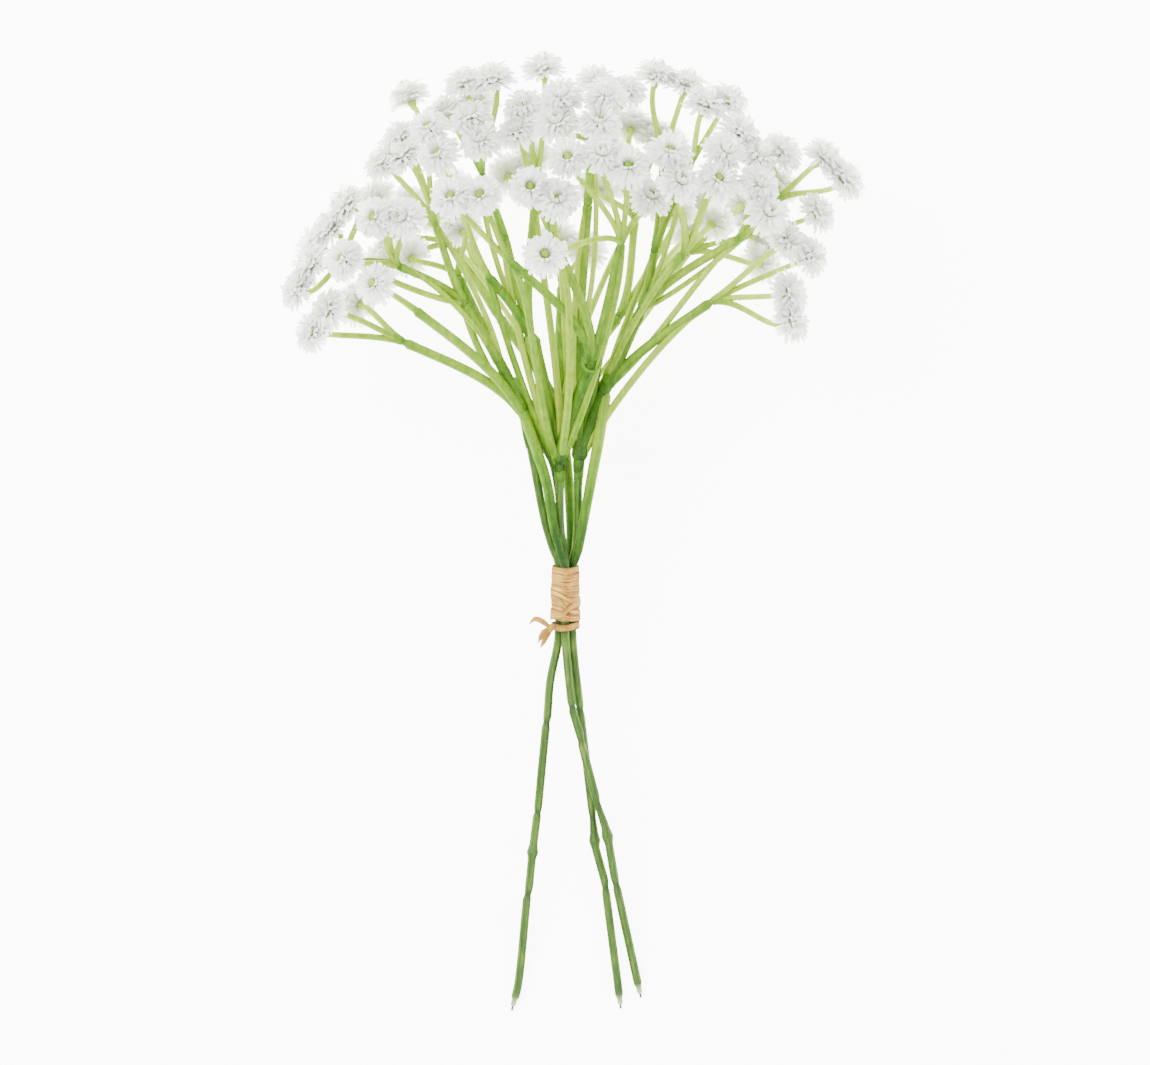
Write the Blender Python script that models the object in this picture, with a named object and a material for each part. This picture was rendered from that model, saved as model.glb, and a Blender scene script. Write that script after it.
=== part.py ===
"""An artificial gypsophila bunch, lying on its side: three wire-cored plastic stems, forked
sprays with white layered florets, and a raffia tie. Lengths are in millimetres until MM makes
them metres. +Y runs from the cut ends to the flowers and +Z is up."""

import math
import random

import bmesh
import bpy
import numpy as np
from mathutils import Matrix, Quaternion, Vector

MM = 0.001

# How the bunch lies: the cut ends and the lowest florets touch the surface at z = 0.
CUT_END_Y = -150.0
CUT_END_HEIGHT = 1.05
AXIS_SLOPE = 0.178
FRAME_SHIFT = Vector((1.21, 0.465, 0.0))

# Main stems.
STEM_RADIUS = 1.35
BORE_RADIUS = 0.72
WIRE_RADIUS = 0.35
WIRE_SHOWS = 1.6
BORE_PAST_END = 1.0
BORE_STOP = 0.7
WIRE_STOP = 0.6

# Flower head: florets sit on an oval shell round this centre.
HEAD_CENTRE = Vector((0.0, 55.0, 46.0))
HEAD_HALF = Vector((96.0, 96.0, 41.0))
RIM_DEPTH = 0.08
FRONT_POWER = 0.5
BACK_POWER = 0.3

# Florets. FLORET_MIDDLE is the height of the middle over the cup, and FLORET_REACH the radius of the
# ball that other pieces keep out of. FUSED_SPACING is how far apart the florets of one group stand.
FLORET_RADIUS = 6.5
FLORET_POINTS = 6
FLORET_MIDDLE = 3.6
FLORET_HALF = 3.1
FLORET_REACH = 6.6
FUSED_SPACING = 9.6
FLORET_GAP = 0.3
FLORET_TOP = 6.4

# The rings of a floret from its cup outwards: radius and height of the petal tips, then of the notches.
FLORET_RINGS = (
    ((FLORET_RADIUS, 2.0), (5.3, 2.7)),
    ((4.7, 3.8), (4.4, 3.8)),
    ((5.5, 5.7), (4.2, 5.3)),
)
PETAL_SPREAD = (0.95, 1.03)

# A floret's facing: the share it has in common with its group, and its lean to the front or the back.
SHARED_FACING = 0.65
LEAN_FRONT = 0.5
LEAN_BACK = -0.3

# Branches. The headings are how much of its parent's direction a branch keeps where it starts.
PEDICEL_RADIUS = 0.85
ROOT_RADIUS = 1.25
SIDE_RADIUS = 1.2
CUP_RADIUS = 1.5
CUP_LENGTH = 2.6
JOINT_SWELL = 1.35
CLEARANCE = 0.5
STEM_HEADING = Vector((0.0, 1.0, 0.15))
BRANCH_HEADING = 0.55
PEDICEL_HEADING = 0.5
END_HEADING = 1.3
BRANCH_PULL = 1 / 3
PEDICEL_PULL = 0.35
BRANCH_STEPS = (0.0, 0.35, 0.68, 1.0)
PEDICEL_STEPS = (0.0, 0.45)

# x, y and height over the bunch's axis line, then the radius as a share of STEM_RADIUS.
STEM_ROUTES = {
    "left": (
        (-19.6, -149.6, -0.05, 1.0), (-17.8, -142.0, 0.0, 1.0), (-15.2, -116.0, 0.0, 1.0),
        (-14.9, -114.4, 0.0, 0.86), (-14.5, -112.0, 0.0, 1.0), (-13.6, -103.0, 0.0, 1.0),
        (-13.4, -101.0, 0.0, 1.4), (-13.1, -98.6, 0.0, 1.0), (-12.0, -89.6, 0.0, 1.0),
        (-11.8, -88.4, 0.0, 0.86), (-11.6, -86.6, 0.0, 1.0), (-9.2, -61.6, 0.0, 1.0),
        (-9.0, -60.0, 0.0, 0.86), (-8.7, -58.0, 0.0, 1.0), (-7.8, -47.0, -0.7, 1.0),
        (-5.2, -33.0, -1.3, 1.0), (-5.2, -9.8, -1.3, 1.0), (-7.0, -5.0, -1.0, 1.0),
        (-9.6, 4.0, -0.4, 1.0), (-12.6, 19.7, -0.5, 1.0), (-14.4, 29.0, -0.4, 1.0),
    ),
    "front": (
        (20.5, -145.6, -0.75, 1.0), (18.4, -136.0, -0.3, 1.0), (13.4, -113.0, 0.6, 1.0),
        (13.0, -111.2, 0.7, 0.86), (12.5, -109.0, 0.8, 1.0), (10.7, -98.4, 1.3, 1.0),
        (10.2, -95.8, 1.4, 1.4), (9.6, -93.2, 1.5, 1.0), (7.0, -85.4, 1.8, 0.86),
        (6.4, -83.0, 1.8, 1.0), (2.3, -67.4, 1.8, 1.0), (1.9, -65.6, 1.8, 0.86),
        (1.5, -63.6, 1.8, 1.0), (-0.6, -56.4, 1.7, 1.0), (-0.9, -55.0, 1.7, 0.86),
        (-1.2, -53.0, 1.7, 1.0), (-3.0, -33.0, 1.6, 1.0), (-3.0, -9.8, 1.6, 1.0),
        (-3.6, -5.0, 1.6, 1.0), (-4.6, 1.6, 1.3, 1.0), (-4.8, 18.4, 0.8, 1.0),
    ),
    "right": (
        (14.3, -149.0, -0.15, 1.0), (13.3, -141.0, 0.0, 1.0), (9.8, -114.0, -0.5, 1.0),
        (9.6, -112.2, -0.6, 0.86), (9.3, -110.0, -0.7, 1.0), (6.5, -99.6, -1.1, 1.0),
        (6.2, -97.2, -1.2, 1.4), (6.0, -94.8, -1.3, 1.0), (5.6, -90.0, -1.5, 0.86),
        (5.3, -87.0, -1.6, 1.0), (1.8, -57.8, -1.5, 1.0), (1.6, -56.0, -1.5, 0.86),
        (1.4, -54.0, -1.5, 1.0), (-0.8, -33.0, -1.3, 1.0), (-0.8, -9.8, -1.3, 1.0),
        (0.2, -5.0, -1.2, 1.0), (0.9, 4.0, -1.0, 1.0), (0.9, 19.6, -0.9, 1.0),
    ),
}

# The side branch of each spray from beside the tie to its first fork: x, y, height over the axis.
ROOT_ROUTES = {
    "left": (
        (-3.9, -8.0, 4.7), (-6.6, 1.6, 3.8), (-8.6, 14.4, 3.5), (-12.0, 25.5, 2.9), (-16.0, 36.8, 1.2),
    ),
    "front": ((-4.9, 20.8, 0.8),),
    "right": ((1.2, 21.9, -0.7),),
    "back": ((-1.4, -4.0, -4.1), (-1.7, 10.0, -4.2), (-2.6, 22.0, -4.2), (-4.5, 36.0, -5.0)),
}
SIDE_BRANCH = ((1.0, -5.6, 1.9), (3.2, 6.0, 1.9), (5.4, 18.0, 1.5), (7.6, 30.0, 1.2))

# Forks: the one each grows from, x, y and the branch's radius. The first of each spray ends its root.
FORKS = {
    "left": {
        "L0": (None, -16.0, 36.8, 1.3), "L1": ("L0", -53.4, 59.4, 1.05), "L2": ("L0", -49.7, 69.1, 1.05),
        "L5": ("L0", -23.1, 52.2, 1.3), "L4": ("L5", -34.7, 71.6, 1.15), "L3": ("L4", -55.0, 83.1, 1.0),
        "L6": ("L5", -36.5, 80.3, 1.05), "L8": ("L4", -43.5, 96.0, 1.0), "L9": ("L3", -71.0, 85.0, 0.95),
    },
    "front": {
        "M0": (None, -4.9, 20.8, 1.4), "M1": ("M0", -14.1, 61.6, 1.9), "M2": ("M0", 5.3, 53.0, 1.35),
        "M3": ("M1", -27.0, 80.0, 1.1), "M4": ("M1", -22.0, 92.0, 1.1), "M9": ("M4", -29.0, 112.0, 1.0),
        "M6": ("M2", -20.0, 84.0, 1.05), "M7": ("M2", -7.5, 92.7, 1.05), "M5": ("M2", 14.4, 89.7, 1.1),
        "M8": ("M1", -12.5, 103.0, 1.05),
    },
    "right": {
        "R0": (None, 1.2, 21.9, 1.35), "R1": ("R0", 9.7, 45.0, 1.35), "R2": ("R0", 1.3, 60.3, 1.25),
        "R3": ("R1", 20.6, 69.4, 1.3), "R4": ("R1", 42.5, 71.9, 1.1), "R5": ("R3", 33.8, 86.9, 1.1),
        "R6": ("R3", 50.9, 91.5, 1.1), "R7": ("R6", 63.0, 103.4, 1.0), "R9": ("R3", 25.0, 88.1, 1.1),
        "R8": ("R9", 36.6, 116.0, 1.0), "R10": ("R9", 27.5, 114.0, 1.0), "R11": ("R2", 4.0, 103.0, 1.15),
        "R12": ("R11", 5.0, 121.0, 1.0),
    },
    "back": {
        "K0": (None, -4.5, 36.0, 1.3), "K1": ("K0", -24.0, 68.0, 1.1), "K2": ("K0", 14.0, 68.0, 1.15),
        "K3": ("K0", -4.0, 78.0, 1.1), "K4": ("K1", -38.0, 90.0, 1.0), "K5": ("K2", 36.0, 88.0, 1.0),
        "K6": ("K3", -8.0, 102.0, 1.0), "K7": ("K2", 18.0, 98.0, 1.0),
    },
}

# Florets on each fork: x, y and depth, from 1 on the front of the head to -1 on its back.
# Those in one group mesh their petals.
FLORETS = (
    ("L1", ((-82.8, 61.6, 0.1), (-77.5, 70.0, 0.35))),
    ("L1", ((-69.0, 71.5, -0.4),)),
    ("L2", ((-61.6, 76.6, 0.95),)),
    ("L9", ((-85.8, 75.6, 0.1), (-84.0, 84.4, 0.3))),
    ("L3", ((-71.3, 84.4, 0.85),)),
    ("L9", ((-73.4, 104.4, 0.15), (-80.0, 95.0, 0.0), (-78.0, 88.0, -0.4))),
    ("L3", ((-62.5, 104.7, -0.35),)),
    ("L3", ((-63.1, 98.1, 0.86), (-51.3, 97.2, 0.75))),
    ("L6", ((-52.2, 86.3, -0.5),)),
    ("L6", ((-36.5, 95.6, -0.2),)),
    ("L8", ((-63.1, 116.6, 0.4), (-55.0, 125.9, 0.3), (-50.5, 116.0, 0.0))),
    ("L8", ((-52.6, 135.8, -0.1),)),
    ("M6", ((-39.4, 102.8, 0.95), (-27.8, 104.4, 1.0))),
    ("M3", ((-40.9, 118.0, 0.9), (-44.1, 125.7, 0.55))),
    ("M9", ((-29.5, 122.0, 0.75), (-34.0, 129.8, 0.3))),
    ("M9", ((-41.0, 134.0, -0.1), (-30.3, 134.6, -0.2))),
    ("M9", ((-35.9, 141.6, 0.3), (-24.7, 139.6, 0.3))),
    ("M5", ((-9.4, 85.6, 1.0),)),
    ("M5", ((18.4, 113.1, 1.0), (7.5, 117.5, 0.85), (-2.8, 115.3, 0.95))),
    ("M5", ((24.0, 104.6, 0.3),)),
    ("M7", ((-15.0, 107.5, 1.0), (-4.1, 101.9, 0.85))),
    ("M8", ((-10.0, 145.6, 0.05),)),
    ("M8", ((-15.0, 133.8, 0.45), (-19.0, 123.5, 0.35))),
    ("R4", ((65.3, 73.8, 0.1), (69.7, 66.3, 0.3))),
    ("R4", ((68.8, 91.9, 0.5), (72.3, 86.0, 0.0))),
    ("R5", ((35.3, 109.5, 0.95), (29.0, 116.0, 0.9))),
    ("R5", ((45.0, 108.4, 0.95), (45.9, 118.8, 0.75))),
    ("R5", ((44.1, 97.6, -0.3),)),
    ("R6", ((60.0, 100.0, 0.86), (54.7, 107.0, 0.75))),
    ("R7", ((64.4, 109.4, -0.2),)),
    ("R6", ((76.3, 99.4, 0.2),)),
    ("R7", ((76.9, 115.3, 0.1), (85.9, 111.7, 0.25))),
    ("R7", ((65.3, 119.6, 0.3), (56.5, 118.8, 0.5), (51.5, 124.4, 0.2))),
    ("R8", ((38.8, 134.1, 0.25), (50.5, 134.1, 0.15))),
    ("R10", ((32.0, 101.5, -0.45),)),
    ("R10", ((27.6, 144.6, 0.1), (31.5, 137.8, -0.15))),
    ("R12", ((7.8, 127.2, 0.86), (8.4, 134.8, 0.45))),
    ("R12", ((-5.9, 126.6, 0.75), (-2.5, 135.4, 0.4))),
    ("R12", ((6.3, 142.6, 0.1), (17.8, 137.8, 0.2))),
    ("K7", ((8.0, 109.0, -0.5),)),
    ("K7", ((17.2, 126.6, -0.3), (27.5, 125.3, -0.4))),
    ("K1", ((-36.0, 96.0, -1.0), (-45.0, 101.0, -1.0), (-38.0, 108.0, -1.0))),
    ("K2", ((36.0, 94.0, -1.0), (45.0, 99.0, -1.0), (37.0, 106.0, -1.0))),
    ("K4", ((-60.0, 84.0, -0.9), (-56.0, 94.0, -0.9), (-52.0, 103.0, -0.85))),
    ("K5", ((59.0, 84.0, -0.9), (58.0, 94.0, -0.9), (52.0, 104.0, -0.8))),
    ("K3", ((-6.0, 92.0, -1.0), (4.0, 88.0, -1.0))),
    ("K6", ((-22.0, 112.0, -0.85), (-12.0, 118.0, -0.8))),
    ("K7", ((20.0, 108.0, -0.95), (12.0, 118.0, -0.85), (6.0, 126.0, -0.6))),
)

# The forks whose florets the bunch rests on, and the height of the middles of these.
RESTING_FORKS = ("K1", "K2")
RESTING_HEIGHT = 2.4

# Raffia tie.
TIE_X = -3.0
TIE_STEMS = ((-2.2, -1.3), (0.0, 1.6), (2.2, -1.3))
TIE_INNER = 1.72
TIE_OUTER = 2.5
BAND_Y = -19.3
BAND_HALF = 8.3
STRAND_Y = -29.6
STRAND_HALF = 1.1
STRAND_OUTER = 2.4
TIE_SIDES = 16
KNOT = (-7.6, -30.2, 1.7)
KNOT_RADIUS = 1.7
KNOT_SQUASH = 0.85
TAILS = (
    ((-7.8, -30.0, 1.9), (-10.4, -28.0, 2.3), (-12.6, -27.3, 2.2), (-14.4, -28.8, 1.7)),
    ((-7.8, -30.4, 1.8), (-9.6, -31.4, 2.6), (-10.6, -33.0, 2.4), (-11.6, -34.6, 1.6)),
    ((-7.6, -30.8, 1.5), (-8.6, -32.2, 1.6), (-9.8, -34.4, 1.3), (-10.8, -36.4, 0.4)),
)
TAIL_RADII = (0.75, 0.8, 0.7, 0.35)

# How the branches are bent clear of each other: the steps in all, the last ones with no pull back to
# the planned place, and how strongly the rest pull.
SETTLE_STEPS = 160
FREE_STEPS = 50
SPRING = 0.06
PUSH_SHARE = Vector((0.5, 0.5, 1.0))
CURVE_SAMPLES = 9
FIXED_SPACING = 3.0
CREASE_ANGLE = math.radians(50)
SEED = 7


def axis_height(y):
    return CUT_END_HEIGHT + AXIS_SLOPE * (y - CUT_END_Y)


def over_axis(x, y, lift):
    return Vector((x, y, axis_height(y) + lift))


def shell_point(x, y, depth):
    across = (x - HEAD_CENTRE.x) / HEAD_HALF.x
    along = (y - HEAD_CENTRE.y) / HEAD_HALF.y
    flatness = FRONT_POWER if depth > 0 else BACK_POWER
    half = HEAD_HALF.z * max(RIM_DEPTH, 1 - across**2 - along**2) ** flatness
    return Vector((x, y, HEAD_CENTRE.z + depth * half))


def outward(point):
    away = point - HEAD_CENTRE
    return Vector([a / half**2 for a, half in zip(away, HEAD_HALF)]).normalized()


def bezier(t):
    """How much each of four control points counts at t."""
    return ((1 - t) ** 3, 3 * t * (1 - t) ** 2, 3 * t * t * (1 - t), t**3)


def plan_florets():
    """Every floret's group, fork, middle and facing. Those of one group share most of their facing,
    so that their petals mesh."""
    florets = []
    for group, (fork, places) in enumerate(FLORETS):
        middles = [shell_point(*place) for place in places]
        lean = Vector((0.0, 0.0, LEAN_FRONT if places[0][2] >= 0 else LEAN_BACK))
        shared = outward(sum(middles, Vector()) / len(middles))
        for middle in middles:
            facing = outward(middle).lerp(shared, SHARED_FACING) + lean
            floret = {"group": group, "fork": fork, "middle": middle, "facing": facing.normalized()}
            floret["resting"] = fork in RESTING_FORKS
            if floret["resting"]:
                middle.z = RESTING_HEIGHT
                floret["facing"] = Vector((0.0, 0.0, -1.0))
            florets.append(floret)
    return florets


def plan_forks(florets):
    """Each fork's place: x and y as chosen, and a height on the way from its parent to what it carries."""
    places = {}
    for spray, forks in FORKS.items():
        loads = {name: [f["middle"] for f in florets if f["fork"] == name] for name in forks}
        for name in reversed(forks):
            parent = forks[name][0]
            if parent:
                loads[parent] += loads[name]
        for name, (parent, x, y, _) in forks.items():
            if parent is None:
                places[name] = over_axis(*ROOT_ROUTES[spray][-1])
                continue
            goal = sum(loads[name], Vector()) / len(loads[name])
            here = Vector((x, y))
            before = (here - places[parent].xy).length
            after = (goal.xy - here).length
            height = places[parent].z + (goal.z - places[parent].z) * before / (before + after)
            places[name] = Vector((x, y, height))
    return places


def plan_branches():
    """Lays out every branch and pedicel as four control points, then bends them clear of each other."""
    florets = plan_florets()
    places = plan_forks(florets)
    points = []
    held = []
    branches = []

    def add(place, hold=False):
        points.append(tuple(place))
        held.append(hold)
        return len(points) - 1

    index = {}
    headings = {}
    for spray, forks in FORKS.items():
        root = [over_axis(*place) for place in ROOT_ROUTES[spray]]
        first = next(iter(forks))
        index[first] = add(places[first], True)
        before = root[-2] if len(root) > 1 else root[-1] - STEM_HEADING
        headings[first] = (root[-1] - before).normalized()
        for name, (parent, _, _, radius) in forks.items():
            if parent is None:
                continue
            start, end = places[parent], places[name]
            way = (end - start).normalized()
            pull = (end - start).length * BRANCH_PULL
            heading = way.lerp(headings[parent], BRANCH_HEADING).normalized()
            headings[name] = heading.lerp(way, END_HEADING).normalized()
            index[name] = add(end)
            inner = [add(start + heading * pull), add(end - headings[name] * pull)]
            ends = (index[parent], *inner, index[name])
            branches.append({"spray": spray, "ends": ends, "radius": radius})
        for number, floret in enumerate(florets):
            if floret["fork"] not in forks:
                continue
            start = places[floret["fork"]]
            seat = floret["middle"] - floret["facing"] * FLORET_MIDDLE
            way = (seat - start).normalized()
            pull = (seat - start).length * PEDICEL_PULL
            heading = way.lerp(headings[floret["fork"]], PEDICEL_HEADING).normalized()
            floret["seat"] = add(seat, floret["resting"])
            leaving = add(start + heading * pull)
            floret["below"] = add(seat - floret["facing"] * pull, floret["resting"])
            ends = (index[floret["fork"]], leaving, floret["below"], floret["seat"])
            branch = {"spray": spray, "ends": ends, "radius": PEDICEL_RADIUS, "floret": number}
            branches.append(branch)
    return florets, branches, np.array(points), np.array(held)


def fixed_runs():
    """The stems and roots, which stay where they are: what each belongs to, its points and its radius."""
    runs = []
    for side, route in STEM_ROUTES.items():
        runs.append(("stem_" + side, [over_axis(*place[:3]) for place in route], STEM_RADIUS))
    for spray, route in ROOT_ROUTES.items():
        runs.append((spray, [over_axis(*place) for place in route], ROOT_RADIUS))
    runs.append(("right", [over_axis(*place) for place in SIDE_BRANCH], SIDE_RADIUS))
    return runs


def settle(florets, branches, points, held):
    """Bends branches and moves florets until none of them crosses another piece."""
    rows, offsets, radii, bodies, owners = [], [], [], [], []
    numbers = {}

    def sample(weights, offset, radius, body, owner):
        row = np.zeros(len(points))
        for column, weight in weights:
            row[column] += weight
        rows.append(row)
        offsets.append(offset)
        radii.append(radius)
        bodies.append(numbers.setdefault(body, len(numbers)))
        owners.append(owner)

    for branch in branches:
        owner = branch.get("floret", -1)
        for step in range(CURVE_SAMPLES):
            weights = zip(branch["ends"], bezier((step + 0.5) / CURVE_SAMPLES))
            sample(weights, (0, 0, 0), branch["radius"], branch["spray"], owner)
    for number, floret in enumerate(florets):
        offset = tuple(floret["facing"] * FLORET_MIDDLE)
        sample([(floret["seat"], 1.0)], offset, FLORET_REACH, floret["group"], number)
    for body, run, radius in fixed_runs():
        for start, end in zip(run, run[1:]):
            steps = max(1, int((end - start).length / FIXED_SPACING))
            for step in range(steps + 1):
                sample([], tuple(start.lerp(end, step / steps)), radius, body, -1)

    weights = np.array(rows)
    offsets = np.array(offsets, float)
    radii = np.array(radii)
    bodies = np.array(bodies)
    owners = np.array(owners)
    apart = radii[:, None] + radii[None, :] + CLEARANCE
    free = bodies[:, None] == bodies[None, :]
    free |= (owners[:, None] == owners[None, :]) & (owners[:, None] >= 0)
    apart[free] = 0.0
    share = weights / np.maximum((weights**2).sum(axis=1), 1e-9)[:, None]
    home = points.copy()
    seats = np.array([f["seat"] for f in florets])
    below = np.array([f["below"] for f in florets])
    facing = np.array([tuple(f["facing"]) for f in florets])
    stalks = np.linalg.norm(points[seats] - points[below], axis=1)
    drop = FLORET_RADIUS * np.sqrt(1 - facing[:, 2] ** 2) + FLORET_HALF * np.abs(facing[:, 2])
    floor = drop - facing[:, 2] * FLORET_MIDDLE + CLEARANCE
    for step in range(SETTLE_STEPS):
        places = weights @ points + offsets
        away = places[:, None, :] - places[None, :, :]
        distance = np.linalg.norm(away, axis=2) + 1e-6
        lack = np.maximum(apart - distance, 0.0)
        push = ((away / distance[..., None]) * lack[..., None]).sum(axis=1) * 0.5
        touched = (lack > 0).sum(axis=1)
        push /= np.maximum(touched, 1)[:, None] ** 0.5
        moves = share.T @ push
        moves /= np.maximum((weights * (touched > 0)[:, None]).sum(axis=0), 1.0)[:, None]
        moves *= np.array(PUSH_SHARE)
        if step < SETTLE_STEPS - FREE_STEPS:
            moves += (home - points) * SPRING
        moves[held] = 0.0
        points = points + moves
        for first, second in zip(range(len(florets)), range(1, len(florets))):
            if florets[first]["group"] != florets[second]["group"] or florets[first]["resting"]:
                continue
            gap = points[seats[second]] - points[seats[first]]
            level = facing[first] + facing[second]
            level /= np.linalg.norm(level)
            flat = gap - level * (gap @ level)
            shift = (gap - flat / np.linalg.norm(flat) * FUSED_SPACING) * 0.5
            points[seats[first]] += shift
            points[seats[second]] -= shift
        low = floor > points[seats, 2]
        low &= ~held[seats]
        points[seats[low], 2] = floor[low]
        points[below] = points[seats] - facing * stalks[:, None]
    return points


def new_collection(name, hidden=False):
    collection = bpy.data.collections.new(name)
    bpy.context.scene.collection.children.link(collection)
    collection.hide_render = hidden
    return collection


def principled(name, colour, roughness, metallic=0.0):
    material = bpy.data.materials.new(name)
    material.use_nodes = True
    shader = material.node_tree.nodes["Principled BSDF"]
    shader.inputs["Base Color"].default_value = (*colour, 1.0)
    shader.inputs["Roughness"].default_value = roughness
    shader.inputs["Metallic"].default_value = metallic
    material.diffuse_color = (*colour, 1.0)
    return material


def place_mesh(name, mesh, collection):
    piece = bpy.data.objects.new(name, mesh)
    collection.objects.link(piece)
    return piece


def tube(name, points, radii, rounds, collection):
    """A closed tube through the points, with its own radius at each, as a mesh. rounds 0 gives
    four sides and 1 gives six."""
    curve = bpy.data.curves.new(name, "CURVE")
    curve.dimensions = "3D"
    curve.bevel_depth = MM
    curve.bevel_resolution = rounds
    curve.use_fill_caps = True
    spline = curve.splines.new("POLY")
    spline.points.add(len(points) - 1)
    for knot, place, radius in zip(spline.points, points, radii):
        knot.co = (*(Vector(place) * MM), 1.0)
        knot.radius = radius
    guide = place_mesh(name + "_guide", curve, collection)
    bpy.context.view_layer.update()
    evaluated = guide.evaluated_get(bpy.context.evaluated_depsgraph_get())
    mesh = bpy.data.meshes.new_from_object(evaluated)
    bpy.data.objects.remove(guide)
    bpy.data.curves.remove(curve)
    weld(mesh)
    return place_mesh(name, mesh, collection)


def weld(mesh):
    shape = bmesh.new()
    shape.from_mesh(mesh)
    bmesh.ops.remove_doubles(shape, verts=shape.verts, dist=0.001 * MM)
    bmesh.ops.recalc_face_normals(shape, faces=shape.faces)
    shape.to_mesh(mesh)
    shape.free()


def ball(name, centre, radius, collection, squash=1.0):
    shape = bmesh.new()
    bmesh.ops.create_icosphere(shape, subdivisions=1, radius=radius * MM)
    bmesh.ops.scale(shape, verts=shape.verts, vec=(1.0, 1.0, squash))
    bmesh.ops.translate(shape, verts=shape.verts, vec=Vector(centre) * MM)
    mesh = bpy.data.meshes.new(name)
    shape.to_mesh(mesh)
    shape.free()
    return place_mesh(name, mesh, collection)


def combine(name, pieces, collection, operation="UNION"):
    """Joins closed shapes into one solid, or cuts the rest from the first."""
    first, *rest = pieces
    if rest:
        group = new_collection(name + "_rest")
        for piece in rest:
            for holder in piece.users_collection:
                holder.objects.unlink(piece)
            group.objects.link(piece)
        modifier = first.modifiers.new("join", "BOOLEAN")
        modifier.operation = operation
        modifier.operand_type = "COLLECTION"
        modifier.collection = group
        modifier.solver = "MANIFOLD"
        bpy.context.view_layer.update()
    mesh = bpy.data.meshes.new_from_object(first.evaluated_get(bpy.context.evaluated_depsgraph_get()))
    for piece in pieces:
        bpy.data.objects.remove(piece)
    if rest:
        bpy.data.collections.remove(group)
    mesh.name = name
    return place_mesh(name, mesh, collection)


def rest_flat(piece):
    """Cuts off what would reach below the surface that the bunch lies on."""
    shape = bmesh.new()
    shape.from_mesh(piece.data)
    if min(vertex.co.z for vertex in shape.verts) < 0:
        parts = shape.verts[:] + shape.edges[:] + shape.faces[:]
        down = (0, 0, -1)
        cut = bmesh.ops.bisect_plane(shape, geom=parts, plane_co=(0, 0, 0), plane_no=down, clear_outer=True)
        edges = [part for part in cut["geom_cut"] if isinstance(part, bmesh.types.BMEdge)]
        bmesh.ops.holes_fill(shape, edges=edges)
        bmesh.ops.triangulate(shape, faces=[face for face in shape.faces if len(face.verts) > 3])
        shape.to_mesh(piece.data)
    shape.free()


def finish(piece, material):
    piece.data.materials.clear()
    piece.data.materials.append(material)
    piece.data.shade_smooth()
    piece.data.set_sharp_from_angle(angle=CREASE_ANGLE)
    piece.data.transform(Matrix.Translation(FRAME_SHIFT * MM))


def floret(name, seat, facing, towards, draw, collection):
    """Two layers of pointed petals over a cup, from a sphere whose rings are pulled to stars."""
    bands = len(FLORET_RINGS) + 1
    shape = bmesh.new()
    bmesh.ops.create_uvsphere(shape, u_segments=2 * FLORET_POINTS, v_segments=bands, radius=1.0)
    spread = {}
    for vertex in shape.verts:
        ring = round((math.asin(max(-1.0, min(1.0, vertex.co.z))) / math.pi + 0.5) * bands)
        if ring in (0, bands):
            vertex.co = (0.0, 0.0, FLORET_TOP if ring else 0.0)
            continue
        step = round(math.atan2(vertex.co.y, vertex.co.x) * FLORET_POINTS / math.pi)
        notch = (step + ring + 1) % 2
        radius, height = FLORET_RINGS[ring - 1][notch]
        radius *= spread.setdefault((ring, step), draw.uniform(*PETAL_SPREAD))
        turn = step * math.pi / FLORET_POINTS
        vertex.co = (radius * math.cos(turn), radius * math.sin(turn), height)
    across = (towards - facing * towards.dot(facing)).normalized()
    frame = Matrix((across, facing.cross(across), facing)).transposed()
    bmesh.ops.transform(shape, matrix=frame.to_4x4(), verts=shape.verts)
    bmesh.ops.translate(shape, verts=shape.verts, vec=seat + facing * FLORET_GAP)
    bmesh.ops.scale(shape, verts=shape.verts, vec=(MM, MM, MM))
    bmesh.ops.recalc_face_normals(shape, faces=shape.faces)
    mesh = bpy.data.meshes.new(name)
    shape.to_mesh(mesh)
    shape.free()
    return place_mesh(name, mesh, collection)


def make_stems(collection, green, steel):
    for side, route in STEM_ROUTES.items():
        points = [over_axis(*place[:3]) for place in route]
        shares = [place[3] for place in route]
        outer = tube("stem_" + side, points, [share * STEM_RADIUS for share in shares], 1, collection)
        start = (points[0] - points[1]).normalized()
        straight = [point for point, share in zip(points[1:-1], shares[1:-1]) if share == 1.0]
        inner = [points[0] + start * BORE_PAST_END, *straight, points[-2].lerp(points[-1], BORE_STOP)]
        bore = tube("bore_" + side, inner, [BORE_RADIUS] * len(inner), 0, collection)
        stem = combine("stem_" + side, [outer, bore], collection, "DIFFERENCE")
        rest_flat(stem)
        finish(stem, green)
        core = [points[0] + start * WIRE_SHOWS, *straight, points[-2].lerp(points[-1], WIRE_STOP)]
        wire = tube("wire_" + side, core, [WIRE_RADIUS] * len(core), 0, collection)
        finish(wire, steel)


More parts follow.
